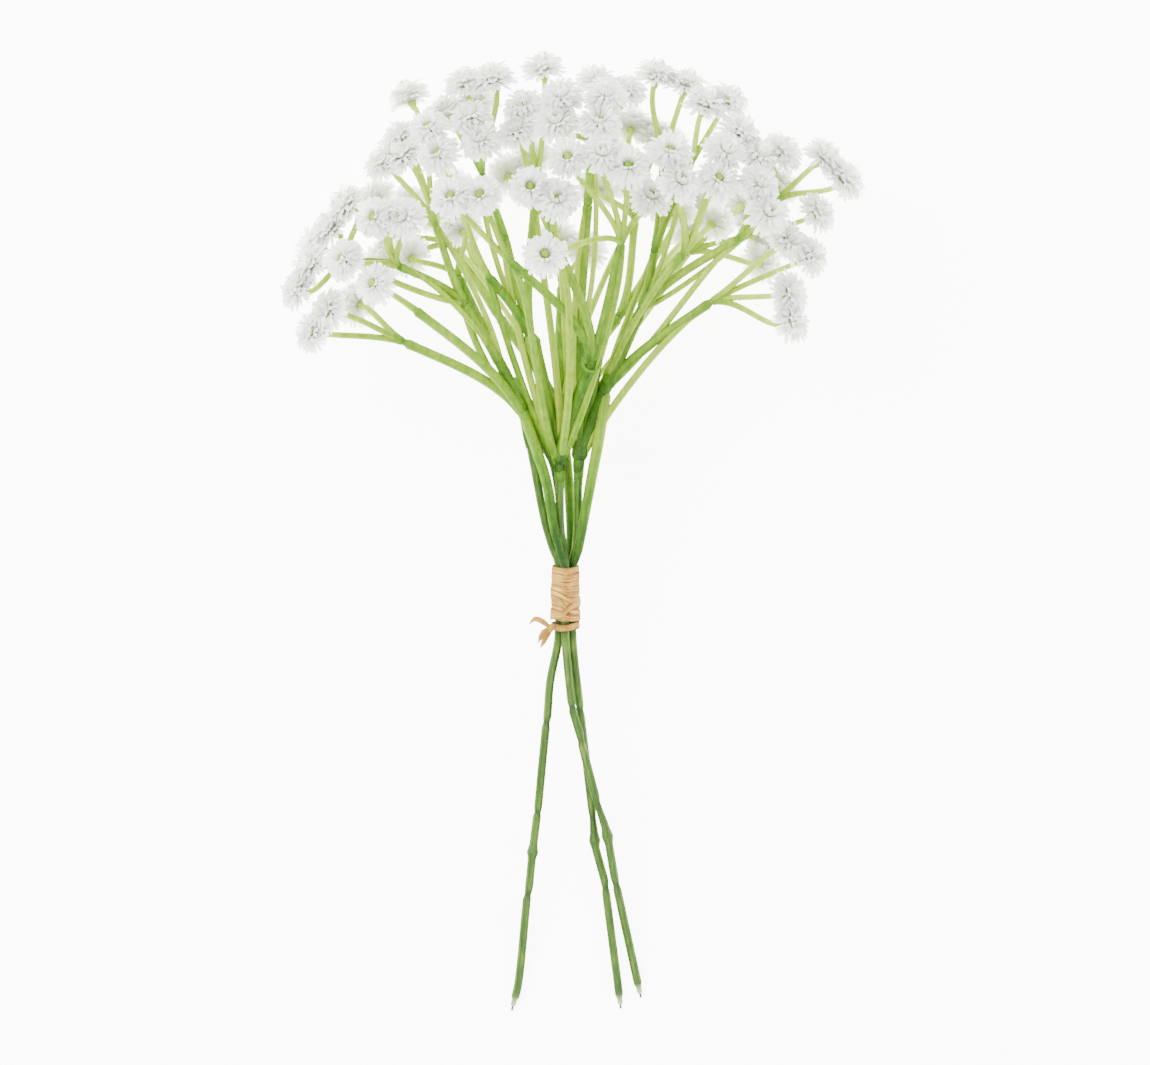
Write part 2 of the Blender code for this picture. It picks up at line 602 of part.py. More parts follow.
def make_sprays(florets, branches, points, collection, green):
    forks = {}
    for branch in branches:
        for end in (branch["ends"][0], branch["ends"][3]):
            forks.setdefault((branch["spray"], end), []).append(branch["radius"])
    for spray in FORKS:
        pieces = []
        root = [over_axis(*place) for place in ROOT_ROUTES[spray]]
        if len(root) > 1:
            pieces.append(tube("root", root, [ROOT_RADIUS] * len(root), 1, collection))
        for branch in branches:
            if branch["spray"] != spray:
                continue
            ends = points[list(branch["ends"])]
            pedicel = "floret" in branch
            steps = PEDICEL_STEPS if pedicel else BRANCH_STEPS
            run = [Vector(np.array(bezier(t)) @ ends) for t in steps]
            radii = [branch["radius"]] * len(run)
            if pedicel:
                seat, facing = Vector(ends[3]), florets[branch["floret"]]["facing"]
                run += [seat - facing * CUP_LENGTH, seat]
                radii += [branch["radius"], CUP_RADIUS]
            pieces.append(tube("branch", run, radii, 0 if pedicel else 1, collection))
        for (owner, end), radii in forks.items():
            if owner == spray and len(radii) > 1:
                pieces.append(ball("joint", points[end], max(radii) * JOINT_SWELL, collection))
        if spray == "right":
            side = [over_axis(*place) for place in SIDE_BRANCH]
            joint = next(branch["ends"][3] for branch in branches if branch["spray"] == spray)
            side.append(Vector(points[joint]))
            pieces.append(tube("side", side, [SIDE_RADIUS] * len(side), 1, collection))
        joined = combine("spray_" + spray, pieces, collection)
        rest_flat(joined)
        finish(joined, green)


def make_florets(florets, points, collection, white):
    draw = random.Random(SEED)
    groups = {}
    for number, planned in enumerate(florets):
        groups.setdefault(planned["group"], []).append(number)
    for group, numbers in groups.items():
        seats = [Vector(points[florets[number]["seat"]]) for number in numbers]
        pieces = []
        for place, number in enumerate(numbers):
            facing = florets[number]["facing"]
            towards = facing.orthogonal()
            towards.rotate(Quaternion(facing, draw.uniform(0.0, math.tau)))
            if len(numbers) > 1:
                other = place + 1 if place == 0 else place - 1
                towards = seats[other] - seats[place]
            pieces.append(floret("petals", seats[place], facing, towards, draw, collection))
        name = f"florets_{group + 1:02d}"
        joined = combine(name, pieces, collection)
        rest_flat(joined)
        finish(joined, white)


def tie_outline(radius):
    """A rounded triangle round the three stems, at this distance from their axes."""
    stems = [Vector(place) for place in TIE_STEMS]
    outline = []
    for step in range(TIE_SIDES):
        turn = (step + 0.5) * math.tau / TIE_SIDES
        way = Vector((math.cos(turn), math.sin(turn)))
        outline.append(max(stems, key=way.dot) + way * radius)
    return outline


def tie_ring(name, y, half, outer, collection):
    """A closed band round the stems, half as long each way from its middle."""
    curve = bpy.data.curves.new(name, "CURVE")
    curve.dimensions = "2D"
    curve.fill_mode = "BOTH"
    curve.extrude = half * MM
    for radius in (outer, TIE_INNER):
        outline = tie_outline(radius)
        spline = curve.splines.new("POLY")
        spline.points.add(len(outline) - 1)
        spline.use_cyclic_u = True
        for knot, place in zip(spline.points, outline):
            knot.co = (*(place * MM), 0.0, 1.0)
    guide = place_mesh(name + "_guide", curve, collection)
    bpy.context.view_layer.update()
    mesh = bpy.data.meshes.new_from_object(guide.evaluated_get(bpy.context.evaluated_depsgraph_get()))
    bpy.data.objects.remove(guide)
    bpy.data.curves.remove(curve)
    tilt = math.atan(AXIS_SLOPE)
    along = Vector((0.0, math.cos(tilt), math.sin(tilt)))
    up = Vector((0.0, -math.sin(tilt), math.cos(tilt)))
    frame = Matrix((Vector((1.0, 0.0, 0.0)), up, -along)).transposed().to_4x4()
    mesh.transform(Matrix.Translation(over_axis(TIE_X, y, 0.0) * MM) @ frame)
    weld(mesh)
    return place_mesh(name, mesh, collection)


def make_tie(collection, raffia):
    band = tie_ring("raffia_band", BAND_Y, BAND_HALF, TIE_OUTER, collection)
    finish(band, raffia)
    pieces = [tie_ring("strand", STRAND_Y, STRAND_HALF, STRAND_OUTER, collection)]
    pieces.append(ball("knot", over_axis(*KNOT), KNOT_RADIUS, collection, KNOT_SQUASH))
    for tail in TAILS:
        pieces.append(tube("tail", [over_axis(*place) for place in tail], TAIL_RADII, 0, collection))
    knot = combine("raffia_knot", pieces, collection)
    finish(knot, raffia)


def main():
    for old in list(bpy.data.objects):
        bpy.data.objects.remove(old)
    bunch = new_collection("gypsophila_bunch")
    stem_green = principled("stem_green", (0.10, 0.24, 0.06), 0.45)
    spray_green = principled("spray_green", (0.36, 0.56, 0.16), 0.5)
    petal_white = principled("petal_white", (0.90, 0.91, 0.88), 0.6)
    raffia = principled("raffia", (0.72, 0.48, 0.24), 0.8)
    steel = principled("wire_steel", (0.16, 0.15, 0.14), 0.5, 1.0)
    florets, branches, points, held = plan_branches()
    points = settle(florets, branches, points, held)
    make_stems(bunch, stem_green, steel)
    make_tie(bunch, raffia)
    make_sprays(florets, branches, points, bunch, spray_green)
    make_florets(florets, points, bunch, petal_white)


main()
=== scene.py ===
import math
import random

import bmesh
import bpy
import numpy as np
from mathutils import Matrix, Quaternion, Vector


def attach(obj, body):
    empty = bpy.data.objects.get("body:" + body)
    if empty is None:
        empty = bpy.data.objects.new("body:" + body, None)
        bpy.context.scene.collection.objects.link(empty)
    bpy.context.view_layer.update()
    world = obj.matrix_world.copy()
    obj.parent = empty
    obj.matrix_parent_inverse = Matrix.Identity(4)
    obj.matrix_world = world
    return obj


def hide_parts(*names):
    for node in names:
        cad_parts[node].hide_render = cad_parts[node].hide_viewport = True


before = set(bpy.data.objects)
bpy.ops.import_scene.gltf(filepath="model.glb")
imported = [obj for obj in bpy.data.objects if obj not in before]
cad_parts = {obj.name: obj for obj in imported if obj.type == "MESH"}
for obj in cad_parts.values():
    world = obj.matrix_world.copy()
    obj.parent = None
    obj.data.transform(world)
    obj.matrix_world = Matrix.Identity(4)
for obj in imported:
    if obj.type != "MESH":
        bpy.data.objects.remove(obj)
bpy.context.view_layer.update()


# Main stems: three lengths of dark green plastic, extruded with ribs over a steel wire. Each is
# nicked where a tool held it and has one swollen joint. At its cut end the plastic is stripped down
# to a thin pale core, bored for the wire. All sizes are in millimetres, and MM is one in metres.
MM = 0.001
FRAME_SHIFT = Vector((1.21, 0.465, 0.0))
CUT_END_Y = -150.0
CUT_END_HEIGHT = 1.05
AXIS_SLOPE = 0.178
STEM_RADIUS = 1.35
BORE_RADIUS = 0.45
CORE_SHARE = 0.66
CORE_LENGTH = 2.6
BORE_DEPTH = 4.0
STEM_RIBS = (1.0, 0.98, 0.9, 0.98) * 6
STEM_SPACING = 1.6
PALE_LENGTH = 3.4
NICK_DEPTH = 1.6
NICK_SHADE = 2.6
STEM_CREASE = 65.0
STEM_STREAKS = (900.0, 45.0, 900.0)
BLOTCH_SCALE = 90.0
LOWEST = 0.02

# x, y and height over the bunch's axis line, then the radius as a share of STEM_RADIUS.
STEM_ROUTES = {
    "left": (
        (-19.6, -149.6, -0.05, 1.0), (-17.8, -142.0, 0.0, 1.0), (-15.2, -116.0, 0.0, 1.0),
        (-14.9, -114.4, 0.0, 0.86), (-14.5, -112.0, 0.0, 1.0), (-13.6, -103.0, 0.0, 1.0),
        (-13.4, -101.0, 0.0, 1.4), (-13.1, -98.6, 0.0, 1.0), (-12.0, -89.6, 0.0, 1.0),
        (-11.8, -88.4, 0.0, 0.86), (-11.6, -86.6, 0.0, 1.0), (-9.2, -61.6, 0.0, 1.0),
        (-9.0, -60.0, 0.0, 0.86), (-8.7, -58.0, 0.0, 1.0), (-7.8, -47.0, -0.7, 1.0),
        (-5.2, -33.0, -1.3, 1.0), (-5.2, -9.8, -1.3, 1.0), (-7.0, -5.0, -1.0, 1.0),
        (-9.6, 4.0, -0.4, 1.0), (-12.6, 19.7, -0.5, 1.0), (-14.4, 29.0, -0.4, 1.0),
    ),
    "front": (
        (20.5, -145.6, -0.75, 1.0), (18.4, -136.0, -0.3, 1.0), (13.4, -113.0, 0.6, 1.0),
        (13.0, -111.2, 0.7, 0.86), (12.5, -109.0, 0.8, 1.0), (10.7, -98.4, 1.3, 1.0),
        (10.2, -95.8, 1.4, 1.4), (9.6, -93.2, 1.5, 1.0), (7.0, -85.4, 1.8, 0.86),
        (6.4, -83.0, 1.8, 1.0), (2.3, -67.4, 1.8, 1.0), (1.9, -65.6, 1.8, 0.86),
        (1.5, -63.6, 1.8, 1.0), (-0.6, -56.4, 1.7, 1.0), (-0.9, -55.0, 1.7, 0.86),
        (-1.2, -53.0, 1.7, 1.0), (-3.0, -33.0, 1.6, 1.0), (-3.0, -9.8, 1.6, 1.0),
        (-3.6, -5.0, 1.6, 1.0), (-4.6, 1.6, 1.3, 1.0), (-4.8, 18.4, 0.8, 1.0),
    ),
    "right": (
        (14.3, -149.0, -0.15, 1.0), (13.3, -141.0, 0.0, 1.0), (9.8, -114.0, -0.5, 1.0),
        (9.6, -112.2, -0.6, 0.86), (9.3, -110.0, -0.7, 1.0), (6.5, -99.6, -1.1, 1.0),
        (6.2, -97.2, -1.2, 1.4), (6.0, -94.8, -1.3, 1.0), (5.6, -90.0, -1.5, 0.86),
        (5.3, -87.0, -1.6, 1.0), (1.8, -57.8, -1.5, 1.0), (1.6, -56.0, -1.5, 0.86),
        (1.4, -54.0, -1.5, 1.0), (-0.8, -33.0, -1.3, 1.0), (-0.8, -9.8, -1.3, 1.0),
        (0.2, -5.0, -1.2, 1.0), (0.9, 4.0, -1.0, 1.0), (0.9, 19.6, -0.9, 1.0),
    ),
}


def axis_height(y):
    return CUT_END_HEIGHT + AXIS_SLOPE * (y - CUT_END_Y)


def over_axis(x, y, lift):
    return Vector((x, y, axis_height(y) + lift))


def route_points(route):
    """The points of a route, each given by x, y and height over the axis before anything else."""
    return [over_axis(*spot[:3]) for spot in route]


def smooth_run(points, radii, spacing):
    """The route as a curve through its points, with new points about this far apart."""
    slopes = []
    for number in range(len(points)):
        before = points[max(number - 1, 0)]
        after = points[min(number + 1, len(points) - 1)]
        sides = [k for k in (number - 1, number) if 0 <= k < len(points) - 1]
        length = sum((points[k + 1] - points[k]).length for k in sides)
        slopes.append((after - before) / length)
    run, widths = [points[0]], [radii[0]]
    for number in range(len(points) - 1):
        start, end = points[number], points[number + 1]
        length = (end - start).length
        steps = max(1, round(length / spacing))
        for step in range(1, steps + 1):
            t = step / steps
            place = start * (2 * t**3 - 3 * t**2 + 1) + end * (3 * t**2 - 2 * t**3)
            place += slopes[number] * length * (t**3 - 2 * t**2 + t)
            place += slopes[number + 1] * length * (t**3 - t**2)
            run.append(place)
            widths.append(radii[number] + (radii[number + 1] - radii[number]) * (3 * t**2 - 2 * t**3))
    return run, widths


def grow(run, radii, profile, tones):
    """A closed shape whose ring of corners is carried along the run. profile is each corner's share
    of the radius, and every ring keeps its tone for the material."""
    shape = bmesh.new()
    tone = shape.verts.layers.float.new("tone")
    groove = shape.verts.layers.float.new("groove")
    way = (run[1] - run[0]).normalized()
    bmesh.ops.create_circle(shape, cap_ends=True, segments=len(profile), radius=1.0)
    for vertex, share in zip(shape.verts, profile):
        vertex.co *= share * radii[0]
        vertex[tone] = tones[0]
        vertex[groove] = (1.0 - share) / max(1.0 - min(profile), 1e-6)
    facing = Vector((0, 0, 1)).rotation_difference(way).to_matrix()
    bmesh.ops.transform(shape, matrix=Matrix.Translation(run[0]) @ facing.to_4x4(), verts=shape.verts)
    shape.faces.ensure_lookup_table()
    face = shape.faces[0]
    for number in range(1, len(run)):
        grown = bmesh.ops.extrude_face_region(shape, geom=[face])["geom"]
        face = next(piece for piece in grown if isinstance(piece, bmesh.types.BMFace))
        ahead = (run[min(number + 1, len(run) - 1)] - run[number - 1]).normalized()
        turn = way.rotation_difference(ahead).to_matrix().to_4x4()
        size = Matrix.Scale(radii[number] / radii[number - 1], 4)
        move = Matrix.Translation(run[number]) @ turn @ size @ Matrix.Translation(-run[number - 1])
        bmesh.ops.transform(shape, matrix=move, verts=face.verts)
        for vertex in face.verts:
            vertex[tone] = tones[number]
        way = ahead
    bmesh.ops.recalc_face_normals(shape, faces=shape.faces)
    return shape


def joined(shapes):
    """Several shapes as one, with the layers that the materials read."""
    whole = bmesh.new()
    for layer in ("tone", "groove", "across", "along"):
        whole.verts.layers.float.new(layer)
    for shape in shapes:
        mesh = bpy.data.meshes.new("shape")
        shape.to_mesh(mesh)
        whole.from_mesh(mesh)
        shape.free()
        bpy.data.meshes.remove(mesh)
    return whole


def piece_of(name, shapes, material, crease=50.0):
    """Joins shapes drawn in millimetres into one finished piece that rides on the bunch."""
    whole = joined(shapes)
    for vertex in whole.verts:
        vertex.co.z = max(vertex.co.z, LOWEST)
    bmesh.ops.translate(whole, verts=whole.verts, vec=FRAME_SHIFT)
    bmesh.ops.scale(whole, verts=whole.verts, vec=(MM, MM, MM))
    mesh = bpy.data.meshes.new(name)
    whole.to_mesh(mesh)
    whole.free()
    mesh.shade_smooth()
    mesh.set_sharp_from_angle(angle=math.radians(crease))
    mesh.materials.append(material)
    piece = bpy.data.objects.new(name, mesh)
    bpy.context.scene.collection.objects.link(piece)
    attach(piece, "root")
    return piece


class Field:
    """A value that changes over a surface. Sums on it add Math nodes to the material."""

    def __init__(self, tree, socket):
        self.tree = tree
        self.socket = socket

    def maths(self, operation, first, second):
        return add_node(self.tree, "ShaderNodeMath", {"operation": operation}, {0: first, 1: second})

    def __add__(self, other):
        return self.maths("ADD", self, other)

    def __mul__(self, other):
        return self.maths("MULTIPLY", self, other)

    def __sub__(self, other):
        return self.maths("SUBTRACT", self, other)

    def __rsub__(self, other):
        return self.maths("SUBTRACT", other, self)

    __radd__ = __add__
    __rmul__ = __mul__


def add_node(tree, kind, settings, inputs, output=0):
    """Adds a node with its settings and its sockets' values or links, and gives back one output."""
    node = tree.nodes.new(kind)
    for name, value in settings.items():
        if name == "stops":
            ramp = node.color_ramp
            while len(ramp.elements) < len(value):
                ramp.elements.new(0.5)
            for element, (position, colour) in zip(ramp.elements, value):
                element.position = position
                element.color = (*colour, 1.0)
        else:
            setattr(node, name, value)
    for name, value in inputs.items():
        if isinstance(value, Field):
            tree.links.new(value.socket, node.inputs[name])
        else:
            node.inputs[name].default_value = value
    return Field(tree, node.outputs[output])


def new_finish(name, **constants):
    """A material whose constants sit on its shader's own sockets."""
    material = bpy.data.materials.new(name)
    material.use_nodes = True
    shader = material.node_tree.nodes["Principled BSDF"]
    for socket, value in constants.items():
        shader.inputs[socket.replace("_", " ")].default_value = value
    return material, material.node_tree


def paint(tree, **fields):
    """Links fields to the shader's sockets of these names."""
    shader = tree.nodes["Principled BSDF"]
    for socket, field in fields.items():
        tree.links.new(field.socket, shader.inputs[socket.replace("_", " ")])


def attribute(tree, name):
    return add_node(tree, "ShaderNodeAttribute", {"attribute_name": name}, {}, "Fac")


def place(tree):
    return add_node(tree, "ShaderNodeTexCoord", {}, {}, "Object")


def noise(tree, vector, scale, detail=3.0):
    return add_node(tree, "ShaderNodeTexNoise", {}, {"Vector": vector, "Scale": scale, "Detail": detail})


def stretched(tree, vector, scale):
    return add_node(tree, "ShaderNodeMapping", {}, {"Vector": vector, "Scale": scale})


def ramp(tree, factor, *stops):
    return add_node(tree, "ShaderNodeValToRGB", {"stops": stops}, {0: factor})


def blended(tree, factor, first, second):
    """A colour between two, each a field or three numbers."""
    colours = [value if isinstance(value, Field) else (*value, 1.0) for value in (first, second)]
    settings = {"data_type": "RGBA", "clamp_factor": True}
    return add_node(tree, "ShaderNodeMix", settings, {0: factor, 6: colours[0], 7: colours[1]}, 2)


def bump(tree, height, distance, strength=1.0):
    inputs = {"Height": height, "Distance": distance, "Strength": strength}
    return add_node(tree, "ShaderNodeBump", {}, inputs)


stem_green, tree = new_finish(
    "stem_green", Subsurface_Weight=0.12, Subsurface_Radius=(0.5, 1.0, 0.3), Subsurface_Scale=0.0015,
    IOR=1.47, Specular_IOR_Level=0.3, Coat_Weight=0.06, Coat_Roughness=0.25,
)
tone = attribute(tree, "tone")
groove = attribute(tree, "groove")
lengthwise = noise(tree, stretched(tree, place(tree), STEM_STREAKS), 1.0, 4.0)
blotches = noise(tree, place(tree), BLOTCH_SCALE)
body = ramp(tree, lengthwise * 0.6 + blotches * 0.4,
            (0.3, (0.018, 0.056, 0.003)), (0.5, (0.054, 0.126, 0.007)), (0.72, (0.160, 0.275, 0.024)))
# The grooves between the ribs are painted darker, as painted shade.
shaded = blended(tree, groove * 0.6, body, (0.005, 0.028, 0.002))
# A nick's narrowing gives a tone below zero, which paints the stem much darker there: painted shade in the
# pinch.
nick_shaded = blended(tree, tone * -1.0, shaded, (0.004, 0.020, 0.001))
cut = blended(tree, tone, nick_shaded, (0.42, 0.52, 0.26))
paint(tree, Base_Color=cut, Roughness=0.34 + lengthwise * 0.2, Normal=bump(tree, lengthwise, 0.00008, 0.6))

for side, route in STEM_ROUTES.items():
    points = route_points(route)
    radii = [(1 + (spot[3] - 1) * (NICK_DEPTH if spot[3] < 1 else 1.0)) * STEM_RADIUS for spot in route]
    run, radii = smooth_run(points, radii, STEM_SPACING)
    tones = [max(0.0, 1.0 - (spot - run[0]).length / PALE_LENGTH) for spot in run]
    # Where a nick narrows the stem the tone drops, for painted shade in the pinch.
    tones = [pale + min(0.0, radius / STEM_RADIUS - 1) * NICK_SHADE for pale, radius in zip(tones, radii)]
    near_end = [(spot - run[0]).length < CORE_LENGTH for spot in run]
    radii = [radius * (CORE_SHARE if near else 1.0) for radius, near in zip(radii, near_end)]
    shape = grow(run, radii, STEM_RIBS, tones)
    end = min(shape.faces, key=lambda face: (face.calc_center_median() - run[0]).length)
    bmesh.ops.inset_region(shape, faces=[end], thickness=radii[0] - BORE_RADIUS, use_even_offset=True)
    inner = bmesh.ops.extrude_face_region(shape, geom=[end])["geom"]
    inner = [vertex for vertex in inner if isinstance(vertex, bmesh.types.BMVert)]
    bmesh.ops.translate(shape, verts=inner, vec=(run[1] - run[0]).normalized() * BORE_DEPTH)
    stem = piece_of("ribbed_stem_" + side, [shape], stem_green, STEM_CREASE)
    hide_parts("stem_" + side)


# Wires: a dull steel wire runs up inside each stem and shows a little way out of its cut end, where
# the cutters left a burr and some rust.
WIRE_RADIUS = 0.35
WIRE_SHOWS = 1.6
WIRE_SPACING = 4.0
RUST_SCALE = 900.0
ROUND_WIRE = (1.0,) * 10

wire_steel, tree = new_finish("wire_steel", Metallic=0.9)
rust = noise(tree, place(tree), RUST_SCALE, 5.0)
paint(tree, Base_Color=ramp(tree, rust, (0.35, (0.10, 0.095, 0.09)), (0.7, (0.17, 0.105, 0.06))),
      Roughness=0.4 + rust * 0.3, Normal=bump(tree, rust, 0.00005))
for side, route in STEM_ROUTES.items():
    points = route_points(spot for spot in route if spot[3] == 1.0)
    start = (points[0] - points[1]).normalized()
    points = [points[0] + start * WIRE_SHOWS, *points[:-1]]
    run, radii = smooth_run(points, [WIRE_RADIUS] * len(points), WIRE_SPACING)
    wire = piece_of("core_" + side, [grow(run, radii, ROUND_WIRE, radii)], wire_steel)
    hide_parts("wire_" + side)


# Sprays: four moulded branches of soft green plastic, pushed over the stems. They fork again and
# again, paler towards the tips, and every last twig ends in a small cup with a peg for its floret.
HEAD_CENTRE = Vector((0.0, 55.0, 46.0))
HEAD_HALF = Vector((96.0, 96.0, 41.0))
RIM_DEPTH = 0.08
FRONT_POWER = 0.5
BACK_POWER = 0.3
FLORET_RADIUS = 6.5
FLORET_MIDDLE = 3.6
FLORET_HALF = 3.1
FLORET_REACH = 6.6
FUSED_SPACING = 9.6
SHARED_FACING = 0.65
LEAN_FRONT = 0.5
LEAN_BACK = -0.3
PEDICEL_RADIUS = 0.85
ROOT_RADIUS = 1.25
SIDE_RADIUS = 1.2
CUP_LENGTH = 2.6
CLEARANCE = 0.5
STEM_HEADING = Vector((0.0, 1.0, 0.15))
BRANCH_HEADING = 0.55
PEDICEL_HEADING = 0.5
END_HEADING = 1.3
BRANCH_PULL = 1 / 3
PEDICEL_PULL = 0.35

# The side branch of each spray from beside the tie to its first fork: x, y, height over the axis.
ROOT_ROUTES = {
    "left": (
        (-3.9, -8.0, 4.7), (-6.6, 1.6, 3.8), (-8.6, 14.4, 3.5), (-12.0, 25.5, 2.9), (-16.0, 36.8, 1.2),
    ),
    "front": ((-4.9, 20.8, 0.8),),
    "right": ((1.2, 21.9, -0.7),),
    "back": ((-1.4, -4.0, -4.1), (-1.7, 10.0, -4.2), (-2.6, 22.0, -4.2), (-4.5, 36.0, -5.0)),
}
SIDE_BRANCH = ((1.0, -5.6, 1.9), (3.2, 6.0, 1.9), (5.4, 18.0, 1.5), (7.6, 30.0, 1.2))

# Forks: the one each grows from, x, y and the branch's radius. The first of each spray ends its root.
FORKS = {
    "left": {
        "L0": (None, -16.0, 36.8, 1.3), "L1": ("L0", -53.4, 59.4, 1.05), "L2": ("L0", -49.7, 69.1, 1.05),
        "L5": ("L0", -23.1, 52.2, 1.3), "L4": ("L5", -34.7, 71.6, 1.15), "L3": ("L4", -55.0, 83.1, 1.0),
        "L6": ("L5", -36.5, 80.3, 1.05), "L8": ("L4", -43.5, 96.0, 1.0), "L9": ("L3", -71.0, 85.0, 0.95),
    },
    "front": {
        "M0": (None, -4.9, 20.8, 1.4), "M1": ("M0", -14.1, 61.6, 1.9), "M2": ("M0", 5.3, 53.0, 1.35),
        "M3": ("M1", -27.0, 80.0, 1.1), "M4": ("M1", -22.0, 92.0, 1.1), "M9": ("M4", -29.0, 112.0, 1.0),
        "M6": ("M2", -20.0, 84.0, 1.05), "M7": ("M2", -7.5, 92.7, 1.05), "M5": ("M2", 14.4, 89.7, 1.1),
        "M8": ("M1", -12.5, 103.0, 1.05),
    },
    "right": {
        "R0": (None, 1.2, 21.9, 1.35), "R1": ("R0", 9.7, 45.0, 1.35), "R2": ("R0", 1.3, 60.3, 1.25),
        "R3": ("R1", 20.6, 69.4, 1.3), "R4": ("R1", 42.5, 71.9, 1.1), "R5": ("R3", 33.8, 86.9, 1.1),
        "R6": ("R3", 50.9, 91.5, 1.1), "R7": ("R6", 63.0, 103.4, 1.0), "R9": ("R3", 25.0, 88.1, 1.1),
        "R8": ("R9", 36.6, 116.0, 1.0), "R10": ("R9", 27.5, 114.0, 1.0), "R11": ("R2", 4.0, 103.0, 1.15),
        "R12": ("R11", 5.0, 121.0, 1.0),
    },
    "back": {
        "K0": (None, -4.5, 36.0, 1.3), "K1": ("K0", -24.0, 68.0, 1.1), "K2": ("K0", 14.0, 68.0, 1.15),
        "K3": ("K0", -4.0, 78.0, 1.1), "K4": ("K1", -38.0, 90.0, 1.0), "K5": ("K2", 36.0, 88.0, 1.0),
        "K6": ("K3", -8.0, 102.0, 1.0), "K7": ("K2", 18.0, 98.0, 1.0),
    },
}

# Florets on each fork: x, y and depth, from 1 on the front of the head to -1 on its back.
# Those in one group mesh their petals.
FLORETS = (
    ("L1", ((-82.8, 61.6, 0.1), (-77.5, 70.0, 0.35))),
    ("L1", ((-69.0, 71.5, -0.4),)),
    ("L2", ((-61.6, 76.6, 0.95),)),
    ("L9", ((-85.8, 75.6, 0.1), (-84.0, 84.4, 0.3))),
    ("L3", ((-71.3, 84.4, 0.85),)),
    ("L9", ((-73.4, 104.4, 0.15), (-80.0, 95.0, 0.0), (-78.0, 88.0, -0.4))),
    ("L3", ((-62.5, 104.7, -0.35),)),
    ("L3", ((-63.1, 98.1, 0.86), (-51.3, 97.2, 0.75))),
    ("L6", ((-52.2, 86.3, -0.5),)),
    ("L6", ((-36.5, 95.6, -0.2),)),
    ("L8", ((-63.1, 116.6, 0.4), (-55.0, 125.9, 0.3), (-50.5, 116.0, 0.0))),
    ("L8", ((-52.6, 135.8, -0.1),)),
    ("M6", ((-39.4, 102.8, 0.95), (-27.8, 104.4, 1.0))),
    ("M3", ((-40.9, 118.0, 0.9), (-44.1, 125.7, 0.55))),
    ("M9", ((-29.5, 122.0, 0.75), (-34.0, 129.8, 0.3))),
    ("M9", ((-41.0, 134.0, -0.1), (-30.3, 134.6, -0.2))),
    ("M9", ((-35.9, 141.6, 0.3), (-24.7, 139.6, 0.3))),
    ("M5", ((-9.4, 85.6, 1.0),)),
    ("M5", ((18.4, 113.1, 1.0), (7.5, 117.5, 0.85), (-2.8, 115.3, 0.95))),
    ("M5", ((24.0, 104.6, 0.3),)),
    ("M7", ((-15.0, 107.5, 1.0), (-4.1, 101.9, 0.85))),
    ("M8", ((-10.0, 145.6, 0.05),)),
    ("M8", ((-15.0, 133.8, 0.45), (-19.0, 123.5, 0.35))),
    ("R4", ((65.3, 73.8, 0.1), (69.7, 66.3, 0.3))),
    ("R4", ((68.8, 91.9, 0.5), (72.3, 86.0, 0.0))),
    ("R5", ((35.3, 109.5, 0.95), (29.0, 116.0, 0.9))),
    ("R5", ((45.0, 108.4, 0.95), (45.9, 118.8, 0.75))),
    ("R5", ((44.1, 97.6, -0.3),)),
    ("R6", ((60.0, 100.0, 0.86), (54.7, 107.0, 0.75))),
    ("R7", ((64.4, 109.4, -0.2),)),
    ("R6", ((76.3, 99.4, 0.2),)),
    ("R7", ((76.9, 115.3, 0.1), (85.9, 111.7, 0.25))),
    ("R7", ((65.3, 119.6, 0.3), (56.5, 118.8, 0.5), (51.5, 124.4, 0.2))),
    ("R8", ((38.8, 134.1, 0.25), (50.5, 134.1, 0.15))),
    ("R10", ((32.0, 101.5, -0.45),)),
    ("R10", ((27.6, 144.6, 0.1), (31.5, 137.8, -0.15))),
    ("R12", ((7.8, 127.2, 0.86), (8.4, 134.8, 0.45))),
    ("R12", ((-5.9, 126.6, 0.75), (-2.5, 135.4, 0.4))),
    ("R12", ((6.3, 142.6, 0.1), (17.8, 137.8, 0.2))),
    ("K7", ((8.0, 109.0, -0.5),)),
    ("K7", ((17.2, 126.6, -0.3), (27.5, 125.3, -0.4))),
    ("K1", ((-36.0, 96.0, -1.0), (-45.0, 101.0, -1.0), (-38.0, 108.0, -1.0))),
    ("K2", ((36.0, 94.0, -1.0), (45.0, 99.0, -1.0), (37.0, 106.0, -1.0))),
    ("K4", ((-60.0, 84.0, -0.9), (-56.0, 94.0, -0.9), (-52.0, 103.0, -0.85))),
    ("K5", ((59.0, 84.0, -0.9), (58.0, 94.0, -0.9), (52.0, 104.0, -0.8))),
    ("K3", ((-6.0, 92.0, -1.0), (4.0, 88.0, -1.0))),
    ("K6", ((-22.0, 112.0, -0.85), (-12.0, 118.0, -0.8))),
    ("K7", ((20.0, 108.0, -0.95), (12.0, 118.0, -0.85), (6.0, 126.0, -0.6))),
)

# The forks whose florets the bunch rests on, and the height of the middles of these.
RESTING_FORKS = ("K1", "K2")
RESTING_HEIGHT = 2.4
SETTLE_STEPS = 160
FREE_STEPS = 50
SPRING = 0.06
PUSH_SHARE = Vector((0.5, 0.5, 1.0))
CURVE_SAMPLES = 9
FIXED_SPACING = 3.0


def shell_point(x, y, depth):
    across = (x - HEAD_CENTRE.x) / HEAD_HALF.x
    along = (y - HEAD_CENTRE.y) / HEAD_HALF.y
    flatness = FRONT_POWER if depth > 0 else BACK_POWER
    half = HEAD_HALF.z * max(RIM_DEPTH, 1 - across**2 - along**2) ** flatness
    return Vector((x, y, HEAD_CENTRE.z + depth * half))


